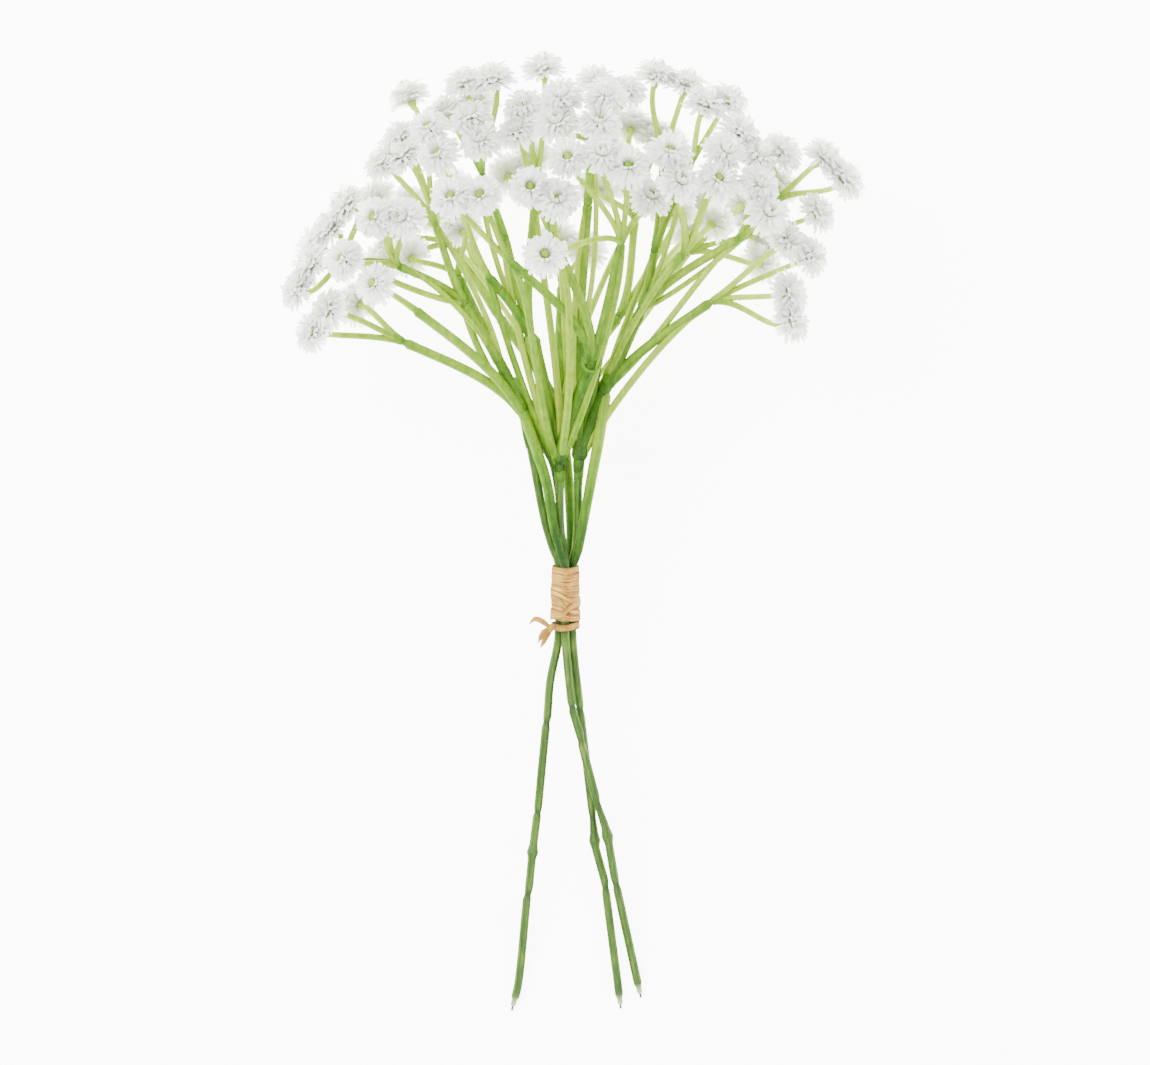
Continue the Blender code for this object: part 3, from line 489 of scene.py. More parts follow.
def outward(point):
    away = point - HEAD_CENTRE
    return Vector([a / half**2 for a, half in zip(away, HEAD_HALF)]).normalized()


def bezier(t):
    """How much each of four control points counts at t."""
    return ((1 - t) ** 3, 3 * t * (1 - t) ** 2, 3 * t * t * (1 - t), t**3)


def plan_florets():
    """Every floret's group, fork, middle and facing. Those of one group share most of their facing,
    so that their petals mesh."""
    florets = []
    for group, (fork, places) in enumerate(FLORETS):
        middles = [shell_point(*place) for place in places]
        lean = Vector((0.0, 0.0, LEAN_FRONT if places[0][2] >= 0 else LEAN_BACK))
        shared = outward(sum(middles, Vector()) / len(middles))
        for middle in middles:
            facing = outward(middle).lerp(shared, SHARED_FACING) + lean
            floret = {"group": group, "fork": fork, "middle": middle, "facing": facing.normalized()}
            floret["resting"] = fork in RESTING_FORKS
            if floret["resting"]:
                middle.z = RESTING_HEIGHT
                floret["facing"] = Vector((0.0, 0.0, -1.0))
            florets.append(floret)
    return florets


def plan_forks(florets):
    """Each fork's place: x and y as chosen, and a height on the way from its parent to what it carries."""
    places = {}
    for spray, forks in FORKS.items():
        loads = {name: [f["middle"] for f in florets if f["fork"] == name] for name in forks}
        for name in reversed(forks):
            parent = forks[name][0]
            if parent:
                loads[parent] += loads[name]
        for name, (parent, x, y, _) in forks.items():
            if parent is None:
                places[name] = over_axis(*ROOT_ROUTES[spray][-1])
                continue
            goal = sum(loads[name], Vector()) / len(loads[name])
            here = Vector((x, y))
            before = (here - places[parent].xy).length
            after = (goal.xy - here).length
            height = places[parent].z + (goal.z - places[parent].z) * before / (before + after)
            places[name] = Vector((x, y, height))
    return places


def plan_branches():
    """Lays out every branch and pedicel as four control points."""
    florets = plan_florets()
    places = plan_forks(florets)
    points = []
    held = []
    branches = []

    def add(place, hold=False):
        points.append(tuple(place))
        held.append(hold)
        return len(points) - 1

    index = {}
    headings = {}
    for spray, forks in FORKS.items():
        root = route_points(ROOT_ROUTES[spray])
        first = next(iter(forks))
        index[first] = add(places[first], True)
        before = root[-2] if len(root) > 1 else root[-1] - STEM_HEADING
        headings[first] = (root[-1] - before).normalized()
        for name, (parent, _, _, radius) in forks.items():
            if parent is None:
                continue
            start, end = places[parent], places[name]
            way = (end - start).normalized()
            pull = (end - start).length * BRANCH_PULL
            heading = way.lerp(headings[parent], BRANCH_HEADING).normalized()
            headings[name] = heading.lerp(way, END_HEADING).normalized()
            index[name] = add(end)
            inner = [add(start + heading * pull), add(end - headings[name] * pull)]
            ends = (index[parent], *inner, index[name])
            branches.append({"spray": spray, "ends": ends, "radius": radius})
        for number, floret in enumerate(florets):
            if floret["fork"] not in forks:
                continue
            start = places[floret["fork"]]
            seat = floret["middle"] - floret["facing"] * FLORET_MIDDLE
            way = (seat - start).normalized()
            pull = (seat - start).length * PEDICEL_PULL
            heading = way.lerp(headings[floret["fork"]], PEDICEL_HEADING).normalized()
            floret["seat"] = add(seat, floret["resting"])
            leaving = add(start + heading * pull)
            floret["below"] = add(seat - floret["facing"] * pull, floret["resting"])
            ends = (index[floret["fork"]], leaving, floret["below"], floret["seat"])
            branch = {"spray": spray, "ends": ends, "radius": PEDICEL_RADIUS, "floret": number}
            branches.append(branch)
    return florets, branches, np.array(points), np.array(held)


def fixed_runs():
    """The stems and roots, which stay where they are: what each belongs to, its points and its radius."""
    stems = [("stem_" + side, route_points(route), STEM_RADIUS) for side, route in STEM_ROUTES.items()]
    roots = [(spray, route_points(route), ROOT_RADIUS) for spray, route in ROOT_ROUTES.items()]
    return [*stems, *roots, ("right", route_points(SIDE_BRANCH), SIDE_RADIUS)]


def settle(florets, branches, points, held):
    """Bends branches and moves florets until none of them crosses another piece."""
    samples = []
    numbers = {}

    def sample(weights, offset, radius, body, owner):
        row = np.zeros(len(points))
        for column, weight in weights:
            row[column] += weight
        samples.append((row, offset, radius, numbers.setdefault(body, len(numbers)), owner))

    for branch in branches:
        owner = branch.get("floret", -1)
        for step in range(CURVE_SAMPLES):
            weights = zip(branch["ends"], bezier((step + 0.5) / CURVE_SAMPLES))
            sample(weights, (0, 0, 0), branch["radius"], branch["spray"], owner)
    for number, floret in enumerate(florets):
        offset = tuple(floret["facing"] * FLORET_MIDDLE)
        sample([(floret["seat"], 1.0)], offset, FLORET_REACH, floret["group"], number)
    for body, run, radius in fixed_runs():
        for start, end in zip(run, run[1:]):
            steps = max(1, int((end - start).length / FIXED_SPACING))
            for step in range(steps + 1):
                sample([], tuple(start.lerp(end, step / steps)), radius, body, -1)

    weights, offsets, radii, bodies, owners = (np.array(column) for column in zip(*samples))
    apart = radii[:, None] + radii[None, :] + CLEARANCE
    free = bodies[:, None] == bodies[None, :]
    free |= (owners[:, None] == owners[None, :]) & (owners[:, None] >= 0)
    apart[free] = 0.0
    share = weights / np.maximum((weights**2).sum(axis=1), 1e-9)[:, None]
    home = points.copy()
    seats = np.array([f["seat"] for f in florets])
    below = np.array([f["below"] for f in florets])
    facing = np.array([tuple(f["facing"]) for f in florets])
    stalks = np.linalg.norm(points[seats] - points[below], axis=1)
    drop = FLORET_RADIUS * np.sqrt(1 - facing[:, 2] ** 2) + FLORET_HALF * np.abs(facing[:, 2])
    floor = drop - facing[:, 2] * FLORET_MIDDLE + CLEARANCE
    for step in range(SETTLE_STEPS):
        places = weights @ points + offsets
        squares = (places**2).sum(axis=1)
        squares = squares[:, None] + squares[None, :] - 2 * places @ places.T
        distance = np.sqrt(np.maximum(squares, 1e-12))
        lack = np.maximum(apart - distance, 0.0)
        pull = lack / distance
        push = (places * pull.sum(axis=1)[:, None] - pull @ places) * 0.5
        touched = (lack > 0).sum(axis=1)
        push /= np.maximum(touched, 1)[:, None] ** 0.5
        moves = share.T @ push
        moves /= np.maximum((weights * (touched > 0)[:, None]).sum(axis=0), 1.0)[:, None]
        moves *= np.array(PUSH_SHARE)
        if step < SETTLE_STEPS - FREE_STEPS:
            moves += (home - points) * SPRING
        moves[held] = 0.0
        points = points + moves
        for first, second in zip(range(len(florets)), range(1, len(florets))):
            if florets[first]["group"] != florets[second]["group"] or florets[first]["resting"]:
                continue
            gap = points[seats[second]] - points[seats[first]]
            level = facing[first] + facing[second]
            level /= np.linalg.norm(level)
            flat = gap - level * (gap @ level)
            shift = (gap - flat / np.linalg.norm(flat) * FUSED_SPACING) * 0.5
            points[seats[first]] += shift
            points[seats[second]] -= shift
        low = floor > points[seats, 2]
        low &= ~held[seats]
        points[seats[low], 2] = floor[low]
        points[below] = points[seats] - facing * stalks[:, None]
    return points


# How much wider branches are drawn than planned, and how much more so, and darker, low down.
BRANCH_WIDEN = 1.26
TWIG_WIDEN = 1.12
LOW_BELOW = 75.0
LOW_WIDEN = 0.38
LOW_SHADE = 0.2
# How far apart a branch's rings are, its first share of its radius and what it loses on its way, and
# its flared, dark and rounded ends.
RING_SPACING = 2.6
FEWEST_RINGS = 5
TAPER = (1.06, 0.12)
FLARE = 0.35
FLARE_LENGTH = 1.8
ROUND_END = 1.1
END_SHARE = 0.5
END_SHADE = 0.2
DARK_LENGTH = 6.0
BRANCH_SIDES = (1.0, 0.99, 0.93, 0.99) * 3
TWIG_SIDES = (1.0, 0.98, 0.96, 0.98, 1.0, 0.97, 0.94, 0.97)
# The tone that each kind starts with, which is darker the thicker the branch, and how far it pales.
BRANCH_TONE = 0.68
THICK_SHADE = 0.3
THIN_BRANCH = 0.95
THICK_RANGE = 0.45
BRANCH_PALER = 0.08
TWIG_TONE = 0.72
TWIG_PALER = 0.25
TONE_SPREAD = 0.08
SPRAY_SHADE = {"left": 0.0, "front": -0.05, "right": 0.0, "back": 0.06}
# The swelling at a fork: how wide and how long it is for the branch, and how much darker.
MAIN_JOINT = (1.1, 2.9, 0.32)
SIDE_JOINT = (1.18, 1.35, 0.28)
MAIN_JOINT_RADIUS = 1.56
MOST_JOINT_RADIUS = 1.7
# The cup and its peg, with rings at these heights over the floret's seat: radius, and how much darker.
CUP_RINGS = (
    (-1.7, 1.0, 0.06), (-0.9, 1.28, 0.16), (-0.15, 1.5, 0.22), (0.15, 1.5, 0.25), (0.35, 0.7, 0.3),
    (3.6, 0.7, 0.3), (3.8, 1.3, 0.25), (4.3, 1.17, 0.25), (4.6, 0.4, 0.3),
)
# Where each root slips under the tie, and how thin it is there. Further on: its radius, wider than
# planned, the share of it at first and gained at each point, how far it pales and how soon.
ROOT_TAILS = {"left": (-3.7, -10.5, 2.9), "back": (-2.6, -10.5, -2.4), "right": (-0.3, -10.5, 0.6)}
TAIL_RADIUS = 0.95
ROOT_GROWTH = (ROOT_RADIUS * 1.28, 0.83, 0.07, 0.5, 1.3)
SIDE_GROWTH = (SIDE_RADIUS * 1.5, 0.79, 0.06, 0.55, 1.5)
SIDE_TONE = 0.05
ROUTE_SPACING = 2.5
# The sleeves that are pushed over the stems. Each ring: share of the length, of the radius, and tone.
# The left sleeve is longer and curved. Its two tones are its first and what each ring adds to it.
SLEEVE_RADIUS = 1.75
SLEEVE_LENGTH = 5.0
SLEEVE_RINGS = ((1.0, 0.8, 0.24), (0.94, 0.86, 0.28), (0.5, 0.95, 0.34), (0.0, 1.0, 0.4), (-0.3, 0.4, 0.4))
LEFT_SLEEVE = ((-13.9, 26.6, -0.4), (-14.5, 29.4, -0.3), (-15.4, 33.4, 0.4), (-16.0, 36.8, 1.2))
LEFT_SLEEVE_RADII = (1.6, 1.75, 1.6, 1.5)
LEFT_SLEEVE_SPACING = 2.0
LEFT_SLEEVE_TONES = (0.12, 0.02)
# The front spray's thickest branch is a wide ribbed sleeve, which widens and pales on its way.
SLEEVE_BRANCH = 1.5
SLEEVE_SPREAD = (0.58, 1.5)
SLEEVE_TONES = (0.28, 0.6)
SLEEVE_SIDES = (1.0, 0.96, 0.82, 0.96) * 5
# The broad webs of plastic behind two of the first forks, with their radii.
WEBS = {
    "front": (
        (-5.0, 10.0, -0.9, 1.2), (-6.2, 21.0, -1.0, 1.9), (-9.8, 29.0, -0.8, 2.3), (-13.6, 37.6, -0.5, 2.0),
        (-19.0, 48.0, 1.5, 1.3),
    ),
    "right": (
        (0.9, 6.0, -0.9, 1.1), (1.2, 20.0, -1.0, 1.6), (3.2, 31.0, -0.8, 2.2), (5.2, 42.0, -0.4, 1.9),
        (7.4, 54.0, 1.2, 1.3),
    ),
}
WEB_TONE = 0.12
WEB_PALER = 0.28
# The half cup round one fork of the front spray, and the degrees at which its rings stand.
HALF_CUP_FORK = 2
HALF_CUP_LIFT = Vector((0.0, 0.0, 1.2))
HALF_CUP_DEGREES = range(150, 391, 24)
HALF_CUP_RADIUS = 2.9
HALF_CUP_WALL = 0.55
HALF_CUP_TONE = 0.35
# Hairs of plastic that the mould left by some cups: how many, how far below, which ways along x, y
# and z they may point, and their three rings.
HAIR_SHARE = 0.12
HAIR_BELOW = 2.0
HAIR_WAYS = ((-1.0, 1.0), (-1.0, 0.2), (-0.4, 0.8))
HAIR_REACH = (0.6, 1.9, 3.2)
HAIR_RADII = (0.16, 0.12, 0.05)
HAIR_TONES = (0.9, 1.0, 1.1)
# Long twigs that leave one fork, pass the next one at its side and join the third.
STRAND_RADIUS = (0.8, 1.05)
STRAND_BOW = (2.5, 6.0)
STRAND_RISE = 4.0
STRAND_START = 0.3
STRAND_RETURN = (0.2, 1.0)
STRAND_PALER = 0.2
# How far the florets lean up, outward and to any side from the way that they were planned to face.
FLORET_LIFT = Vector((0.0, 0.17, 0.0))
OUTWARD_LEAN = 0.45
FLORET_SWAY = 0.16
SPRAY_SEED = 11
MOTTLE_SCALE = 260.0
SPRAY_STREAKS = (800.0, 70.0, 800.0)

spray_green, tree = new_finish(
    "spray_green", Subsurface_Weight=0.3, Subsurface_Radius=(0.7, 1.0, 0.35), Subsurface_Scale=0.0016,
    IOR=1.47, Specular_IOR_Level=0.22, Coat_Weight=0.04, Coat_Roughness=0.3,
)
tone = attribute(tree, "tone")
groove = attribute(tree, "groove")
mottle = noise(tree, place(tree), MOTTLE_SCALE, 4.0)
streaks = noise(tree, stretched(tree, place(tree), SPRAY_STREAKS), 1.0, 3.0)
# The grooves between the ribs lose a little of the tone, as painted shade.
level = tone + (mottle - 0.5) * 0.25 + (streaks - 0.5) * 0.4 - groove * 0.1
greens = ramp(tree, level * 0.7, (0.0, (0.010, 0.042, 0.001)), (0.175, (0.044, 0.130, 0.002)),
              (0.35, (0.130, 0.250, 0.006)), (0.525, (0.290, 0.410, 0.024)), (0.7, (0.475, 0.580, 0.090)),
              (1.0, (0.70, 0.78, 0.50)))
paint(tree, Base_Color=greens, Roughness=0.42 + mottle * 0.2, Normal=bump(tree, streaks, 0.00008, 0.6))


def knuckle(centre, radius, stretch, heading, tone_value):
    """The swelling where a branch forks."""
    shape = bmesh.new()
    tone_layer = shape.verts.layers.float.new("tone")
    bmesh.ops.create_uvsphere(shape, u_segments=14, v_segments=9, radius=radius)
    bmesh.ops.scale(shape, verts=shape.verts, vec=(1.0, 1.0, stretch))
    turn = Vector((0, 0, 1)).rotation_difference(heading).to_matrix().to_4x4()
    bmesh.ops.transform(shape, matrix=Matrix.Translation(centre) @ turn, verts=shape.verts)
    for vertex in shape.verts:
        vertex[tone_layer] = tone_value
    return shape


def branch_shape(ends, radius, start_tone, end_tone, cup=None, spread=(1.0, 1.0), sides=BRANCH_SIDES):
    """One branch or twig on its bend, wider where it leaves and joins others. A twig goes on into
    its cup and the peg that holds the floret."""
    length = sum((ends[k + 1] - ends[k]).length for k in range(3))
    steps = max(FEWEST_RINGS, round(length / RING_SPACING))
    run, radii, tones = [], [], []
    last = 1.0 if cup is None else 1.0 - CUP_LENGTH / length
    places = [step / steps * last for step in range(steps + 1)]
    places.insert(1, ROUND_END * radius / length)
    if cup is None:
        places.insert(-1, 1 - ROUND_END * radius / length)
    for t in places:
        run.append(sum((end * weight for end, weight in zip(ends, bezier(t))), Vector()))
        swell = math.exp(-t * length / FLARE_LENGTH)
        if cup is None:
            swell += math.exp(-(1 - t) * length / FLARE_LENGTH)
        widen = spread[0] + (spread[1] - spread[0]) * t
        radii.append(radius * (1 + FLARE * swell) * (TAPER[0] - TAPER[1] * t) * widen)
        dark = math.exp(-t * length / DARK_LENGTH)
        if cup is None:
            dark += math.exp(-(1 - t) * length / DARK_LENGTH)
        tones.append(start_tone + (end_tone - start_tone) * t - END_SHADE * dark)
    radii[0] *= END_SHARE
    if cup is None:
        radii[-1] *= END_SHARE
        return grow(run, radii, sides, tones)
    for height, wide, darker in CUP_RINGS:
        run.append(ends[3] + cup * height)
        radii.append(wide)
        tones.append(end_tone - darker)
    return grow(run, radii, TWIG_SIDES, tones)


def root_shape(spots, tone, radius, share, gain, paler, hurry):
    """A root of a spray: thin under the tie, thicker and paler on its way, rounded off in its fork."""
    wide = [TAIL_RADIUS, *(radius * (share + gain * number) for number in range(1, len(spots)))]
    run, radii = smooth_run(spots, wide, ROUTE_SPACING)
    radii[-1] *= END_SHARE
    tones = [tone + paler * min(1.0, hurry * number / len(run)) for number in range(len(run))]
    return grow(run, radii, BRANCH_SIDES, tones)


florets, branches, points, held = plan_branches()
points = settle(florets, branches, points, held)
points = [Vector(spot) for spot in points]
draw = random.Random(SPRAY_SEED)
for planned in florets:
    if not planned["resting"]:
        sway = Vector([draw.uniform(-FLORET_SWAY, FLORET_SWAY) for _ in range(2)] + [0.0])
        from_middle = planned["middle"] - HEAD_CENTRE
        out = Vector((from_middle.x / HEAD_HALF.x, (max(0.0, from_middle.y) / HEAD_HALF.y) ** 2, 0.0))
        planned["facing"] = (planned["facing"] + sway + FLORET_LIFT + out * OUTWARD_LEAN).normalized()
for spray in FORKS:
    shade = SPRAY_SHADE[spray]
    shapes = []
    root = route_points(ROOT_ROUTES[spray])
    if len(root) > 1:
        root.insert(0, over_axis(*ROOT_TAILS[spray]))
        shapes.append(root_shape(root, shade, *ROOT_GROWTH))
    else:
        back = (over_axis(*STEM_ROUTES[spray][-2][:3]) - root[0]).normalized()
        lengths, widths, tones = zip(*SLEEVE_RINGS)
        run = [root[0] + back * SLEEVE_LENGTH * share for share in lengths]
        shapes.append(grow(run, [SLEEVE_RADIUS * share for share in widths], BRANCH_SIDES, tones))
    if spray == "left":
        run, radii = smooth_run(route_points(LEFT_SLEEVE), LEFT_SLEEVE_RADII, LEFT_SLEEVE_SPACING)
        tones = [LEFT_SLEEVE_TONES[0] + LEFT_SLEEVE_TONES[1] * number for number in range(len(run))]
        shapes.append(grow(run, radii, BRANCH_SIDES, tones))
    if spray == "front":
        own = [branch for branch in branches if branch["spray"] == spray]
        forks = [branch["ends"][3] for branch in own if "floret" not in branch]
        middle = points[forks[HALF_CUP_FORK - 1]] + HALF_CUP_LIFT
        turns = [math.radians(degrees) for degrees in HALF_CUP_DEGREES]
        run = [middle + Vector((math.cos(turn), math.sin(turn), 0.0)) * HALF_CUP_RADIUS for turn in turns]
        shapes.append(grow(run, [HALF_CUP_WALL] * len(run), TWIG_SIDES, [HALF_CUP_TONE] * len(run)))
    if spray in WEBS:
        widths = [spot[3] for spot in WEBS[spray]]
        run, radii = smooth_run(route_points(WEBS[spray]), widths, ROUTE_SPACING)
        tones = [WEB_TONE + WEB_PALER * number / len(run) for number in range(len(run))]
        shapes.append(grow(run, radii, SLEEVE_SIDES, tones))
    joints = {}
    came_from = {}
    for branch in branches:
        if branch["spray"] != spray:
            continue
        ends = [points[number] for number in branch["ends"]]
        cup = florets[branch["floret"]]["facing"] if "floret" in branch else None
        thick = max(0.0, min(1.0, (branch["radius"] - THIN_BRANCH) / THICK_RANGE))
        start_tone = BRANCH_TONE - THICK_SHADE * thick if cup is None else TWIG_TONE
        low = max(0.0, 1 - ends[0].y / LOW_BELOW)
        start_tone += shade + draw.uniform(-TONE_SPREAD, TONE_SPREAD) - LOW_SHADE * low
        end_tone = start_tone + (BRANCH_PALER if cup is None else TWIG_PALER)
        radius = branch["radius"] * (BRANCH_WIDEN if cup is None else TWIG_WIDEN) * (1 + LOW_WIDEN * low)
        if branch["radius"] > SLEEVE_BRANCH:
            sleeve = (*SLEEVE_TONES, None, SLEEVE_SPREAD, SLEEVE_SIDES)
            shapes.append(branch_shape(ends, branch["radius"], *sleeve))
        else:
            shapes.append(branch_shape(ends, radius, start_tone, end_tone, cup))
        if cup is not None and draw.random() < HAIR_SHARE:
            way = Vector([draw.uniform(*span) for span in HAIR_WAYS]).normalized()
            run = [ends[3] - cup * HAIR_BELOW + way * out for out in HAIR_REACH]
            shapes.append(grow(run, HAIR_RADII, TWIG_SIDES, HAIR_TONES))
        leaving = (ends[1] - ends[0]).normalized()
        joints.setdefault(branch["ends"][0], []).append((radius, leaving, start_tone))
        lower = came_from.get(branch["ends"][0])
        if cup is None:
            came_from[branch["ends"][3]] = branch["ends"][0]
        if cup is None and lower is not None:
            start = points[lower]
            way = ends[3] - start
            across = way.cross(Vector((0.0, 0.0, 1.0))).normalized()
            bow = across * draw.choice((-1, 1)) * draw.uniform(*STRAND_BOW)
            bow.z += draw.uniform(-STRAND_RISE, STRAND_RISE)
            passing = start + way * STRAND_START + bow
            strand = [start, passing, ends[2] + bow * draw.uniform(*STRAND_RETURN), ends[3]]
            tone_here = start_tone + draw.uniform(0.0, STRAND_PALER)
            radius = draw.uniform(*STRAND_RADIUS) * (1 + 2 * LOW_WIDEN * low)
            shapes.append(branch_shape(strand, radius, tone_here, tone_here + BRANCH_PALER))
    for number, leaving in joints.items():
        radius = min(max(each[0] for each in leaving), MOST_JOINT_RADIUS)
        heading = sum((each[1] for each in leaving), Vector()).normalized()
        if radius > MAIN_JOINT_RADIUS or len(leaving) > 2:
            swell, stretch, dark = MAIN_JOINT
        else:
            swell, stretch, dark = SIDE_JOINT
        dark *= 1 - max(0.0, 1 - points[number].y / LOW_BELOW)
        shapes.append(knuckle(points[number], radius * swell, stretch, heading, leaving[0][2] - dark))
    if spray == "right":
        side = route_points((ROOT_TAILS[spray], *SIDE_BRANCH))
        side.append(points[next(branch["ends"][3] for branch in branches if branch["spray"] == spray)])
        shapes.append(root_shape(side, SIDE_TONE, *SIDE_GROWTH))
    piece = piece_of("forked_spray_" + spray, shapes, spray_green)
    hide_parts("spray_" + spray)


# Florets: each is a stack of five discs of thin white plastic, cut into narrow petals that arch
# over one another, pushed onto the peg in the cup. Those that stand together mesh their petals.
PETAL_THICK = 0.16
# Each disc: petals, then distance from the peg and height of a petal's foot, bend and tip, and its
# half width. The fifth disc stands open round the peg in some florets and shuts over it in the rest.
DISCS = (
    (19, (0.9, 0.5), (4.0, 2.2), (6.4, 0.8), 0.74),
    (20, (0.9, 1.0), (3.9, 3.5), (6.4, 2.3), 0.70),
    (19, (0.9, 1.6), (3.6, 5.0), (6.1, 3.8), 0.66),
    (16, (0.9, 2.2), (3.0, 6.2), (5.3, 5.2), 0.62),
)
OPEN_DISC = (12, (1.5, 2.8), (1.6, 6.2), (3.5, 6.8), 0.52)
SHUT_DISC = (14, (0.9, 2.8), (3.2, 6.2), (1.6, 7.0), 0.52)
# Where the florets stand open, as x and y.
OPEN_CENTRES = (
    (-43.4, 120.6), (-44.7, 124.7), (8.1, 128.1), (-3.8, 116.3), (18.8, 113.1), (30.0, 116.3), (44.4, 108.4),
    (-62.2, 98.4), (-39.7, 105.0), (-27.8, 105.0), (-15.0, 107.5), (-72.5, 84.4), (-81.9, 84.7),
    (-61.6, 76.6), (-9.4, 85.6),
)
OPEN_WITHIN = 6.0
FLORET_KINDS = 4
FLORET_SIZES = (1.04, 1.14)
PETAL_CREASE = 60.0
# How far petals differ from their disc: place in the ring, reach, height and twist of the tip, and how
# ragged and notched its end is. Then a petal's width at its foot, what it gains, and at its tip.
PETAL_SHIFT = 0.22
PETAL_REACH = (0.86, 1.06)
PETAL_SAG = 0.7
PETAL_TWIST = 0.35
TIP_RAGGED = 0.3
TIP_NOTCH = (-0.5, 0.15, 0.25)
FOOT_WIDTH = 0.4
WIDTH_GAIN = 0.9
TIP_WIDTH = 0.76
TIP_SHARE = 0.99
PETAL_ARCH = 0.22
VEIN_SCALE = (7.0, 0.8, 40.0)
CLOUD_SCALE = 180.0

petal_white, tree = new_finish(
    "petal_white", Subsurface_Weight=0.75, Subsurface_Radius=(1.0, 1.0, 0.8), Subsurface_Scale=0.003,
    IOR=1.45,
)
along = attribute(tree, "along")
across = attribute(tree, "across")
vein_place = [field * scale for field, scale in zip((across, along, attribute(tree, "tone")), VEIN_SCALE)]
strands = add_node(tree, "ShaderNodeCombineXYZ", {}, dict(enumerate(vein_place)))
veins = noise(tree, strands, 1.0, 3.0)
cloudy = noise(tree, place(tree), CLOUD_SCALE)
# A petal is painted greener and darker towards its foot, as painted shade deep in the floret.
foot = blended(tree, along * 1.6, (0.74, 0.82, 0.50), (0.935, 0.94, 0.89))
petals = blended(tree, cloudy * 0.4, foot, (0.89, 0.90, 0.76))
paint(tree, Base_Color=petals, Roughness=0.5 + veins * 0.25, Normal=bump(tree, veins, 0.00008, 0.7))


def petal(disc, turn, draw):
    """One petal, from a flat strip that is arched, widened to a notched tip and given its thickness."""
    _, foot, bend, tip, half = disc
    shape = bmesh.new()
    layers = {name: shape.verts.layers.float.new(name) for name in ("tone", "across", "along")}
    bmesh.ops.create_grid(shape, x_segments=2, y_segments=3, size=1.0)
    reach = draw.uniform(*PETAL_REACH)
    sag = draw.uniform(-PETAL_SAG, PETAL_SAG)
    twist = draw.uniform(-PETAL_TWIST, PETAL_TWIST)
    tips = {side: draw.uniform(-TIP_RAGGED, TIP_RAGGED) for side in (-1, 0, 1)}
    tips[0] += draw.choice(TIP_NOTCH)
    shade = draw.random()
    for vertex in shape.verts:
        side = vertex.co.x
        share = (vertex.co.y + 1) / 2
        vertex[layers["tone"]] = shade
        vertex[layers["across"]] = side
        vertex[layers["along"]] = share
        at_tip = share > TIP_SHARE
        far = share + (tips[round(side)] / 5 if at_tip else 0.0)
        weights = ((1 - far) ** 2, 2 * far * (1 - far), far * far)
        out = weights[0] * foot[0] + weights[1] * bend[0] + weights[2] * tip[0] * reach
        up = weights[0] * foot[1] + weights[1] * bend[1] + weights[2] * (tip[1] + sag)
        wide = half * min(1.0, FOOT_WIDTH + WIDTH_GAIN * share) * (TIP_WIDTH if at_tip else 1.0)
        up += (twist * side - PETAL_ARCH * side * side) * share
        vertex.co = (out, side * wide, up)
    bmesh.ops.solidify(shape, geom=shape.faces[:], thickness=PETAL_THICK)
    bmesh.ops.recalc_face_normals(shape, faces=shape.faces)
    bmesh.ops.rotate(shape, verts=shape.verts, matrix=Matrix.Rotation(turn, 3, "Z"))
    return shape


def floret_mesh(seed, last_disc):
    """A whole floret, standing on its cup at the origin, as a mesh in millimetres."""
    draw = random.Random(seed)
    shapes = []
    for disc in (*DISCS, last_disc):
        first = draw.uniform(0.0, math.tau)
        for number in range(disc[0]):
            turn = first + (number + draw.uniform(-PETAL_SHIFT, PETAL_SHIFT)) * math.tau / disc[0]
            shapes.append(petal(disc, turn, draw))
    whole = joined(shapes)
    mesh = bpy.data.meshes.new("floret")
    whole.to_mesh(mesh)
    whole.free()
    return mesh


shut = [floret_mesh(seed, SHUT_DISC) for seed in range(FLORET_KINDS)]
opened = [floret_mesh(seed + FLORET_KINDS, OPEN_DISC) for seed in range(FLORET_KINDS)]
groups = {}
for planned in florets:
    groups.setdefault(planned["group"], []).append(planned)
for group, members in groups.items():
    shapes = []
    for planned in members:
        facing = planned["facing"]
        turn = Quaternion(facing, draw.uniform(0.0, math.tau)) @ Vector((0, 0, 1)).rotation_difference(facing)
        size = Matrix.Scale(draw.uniform(*FLORET_SIZES), 4)
        spot = planned["middle"].xy
        nearest = min((spot - Vector(centre)).length for centre in OPEN_CENTRES)
        is_open = facing.z > 0 and nearest < OPEN_WITHIN
        shape = bmesh.new()
        shape.from_mesh(draw.choice(opened if is_open else shut))
        move = Matrix.Translation(points[planned["seat"]]) @ turn.to_matrix().to_4x4() @ size
        bmesh.ops.transform(shape, matrix=move, verts=shape.verts)
        shapes.append(shape)
    piece = piece_of(f"petals_{group + 1:02d}", shapes, petal_white, PETAL_CREASE)
    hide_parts(f"florets_{group + 1:02d}")
for mesh in shut + opened:
    bpy.data.meshes.remove(mesh)


# Raffia tie: a strip of dried palm leaf, wound flat round the three stems from the top down, with
# the last turns slanting over each other, and knotted at the left. Its short ends fray.
TIE_X = -3.0
TIE_STEMS = ((-2.2, -1.3), (0.0, 1.6), (2.2, -1.3))
TIE_INNER = 1.72
TIE_STEPS = 64
TIE_ROWS = 8
CORNER_PULL = 2.5
RAFFIA_THICK = 0.22
RAFFIA_BOW = 0.14
RAFFIA_WAVES = (0.05, 0.04, 0.06)
EDGE_SHADE = 4
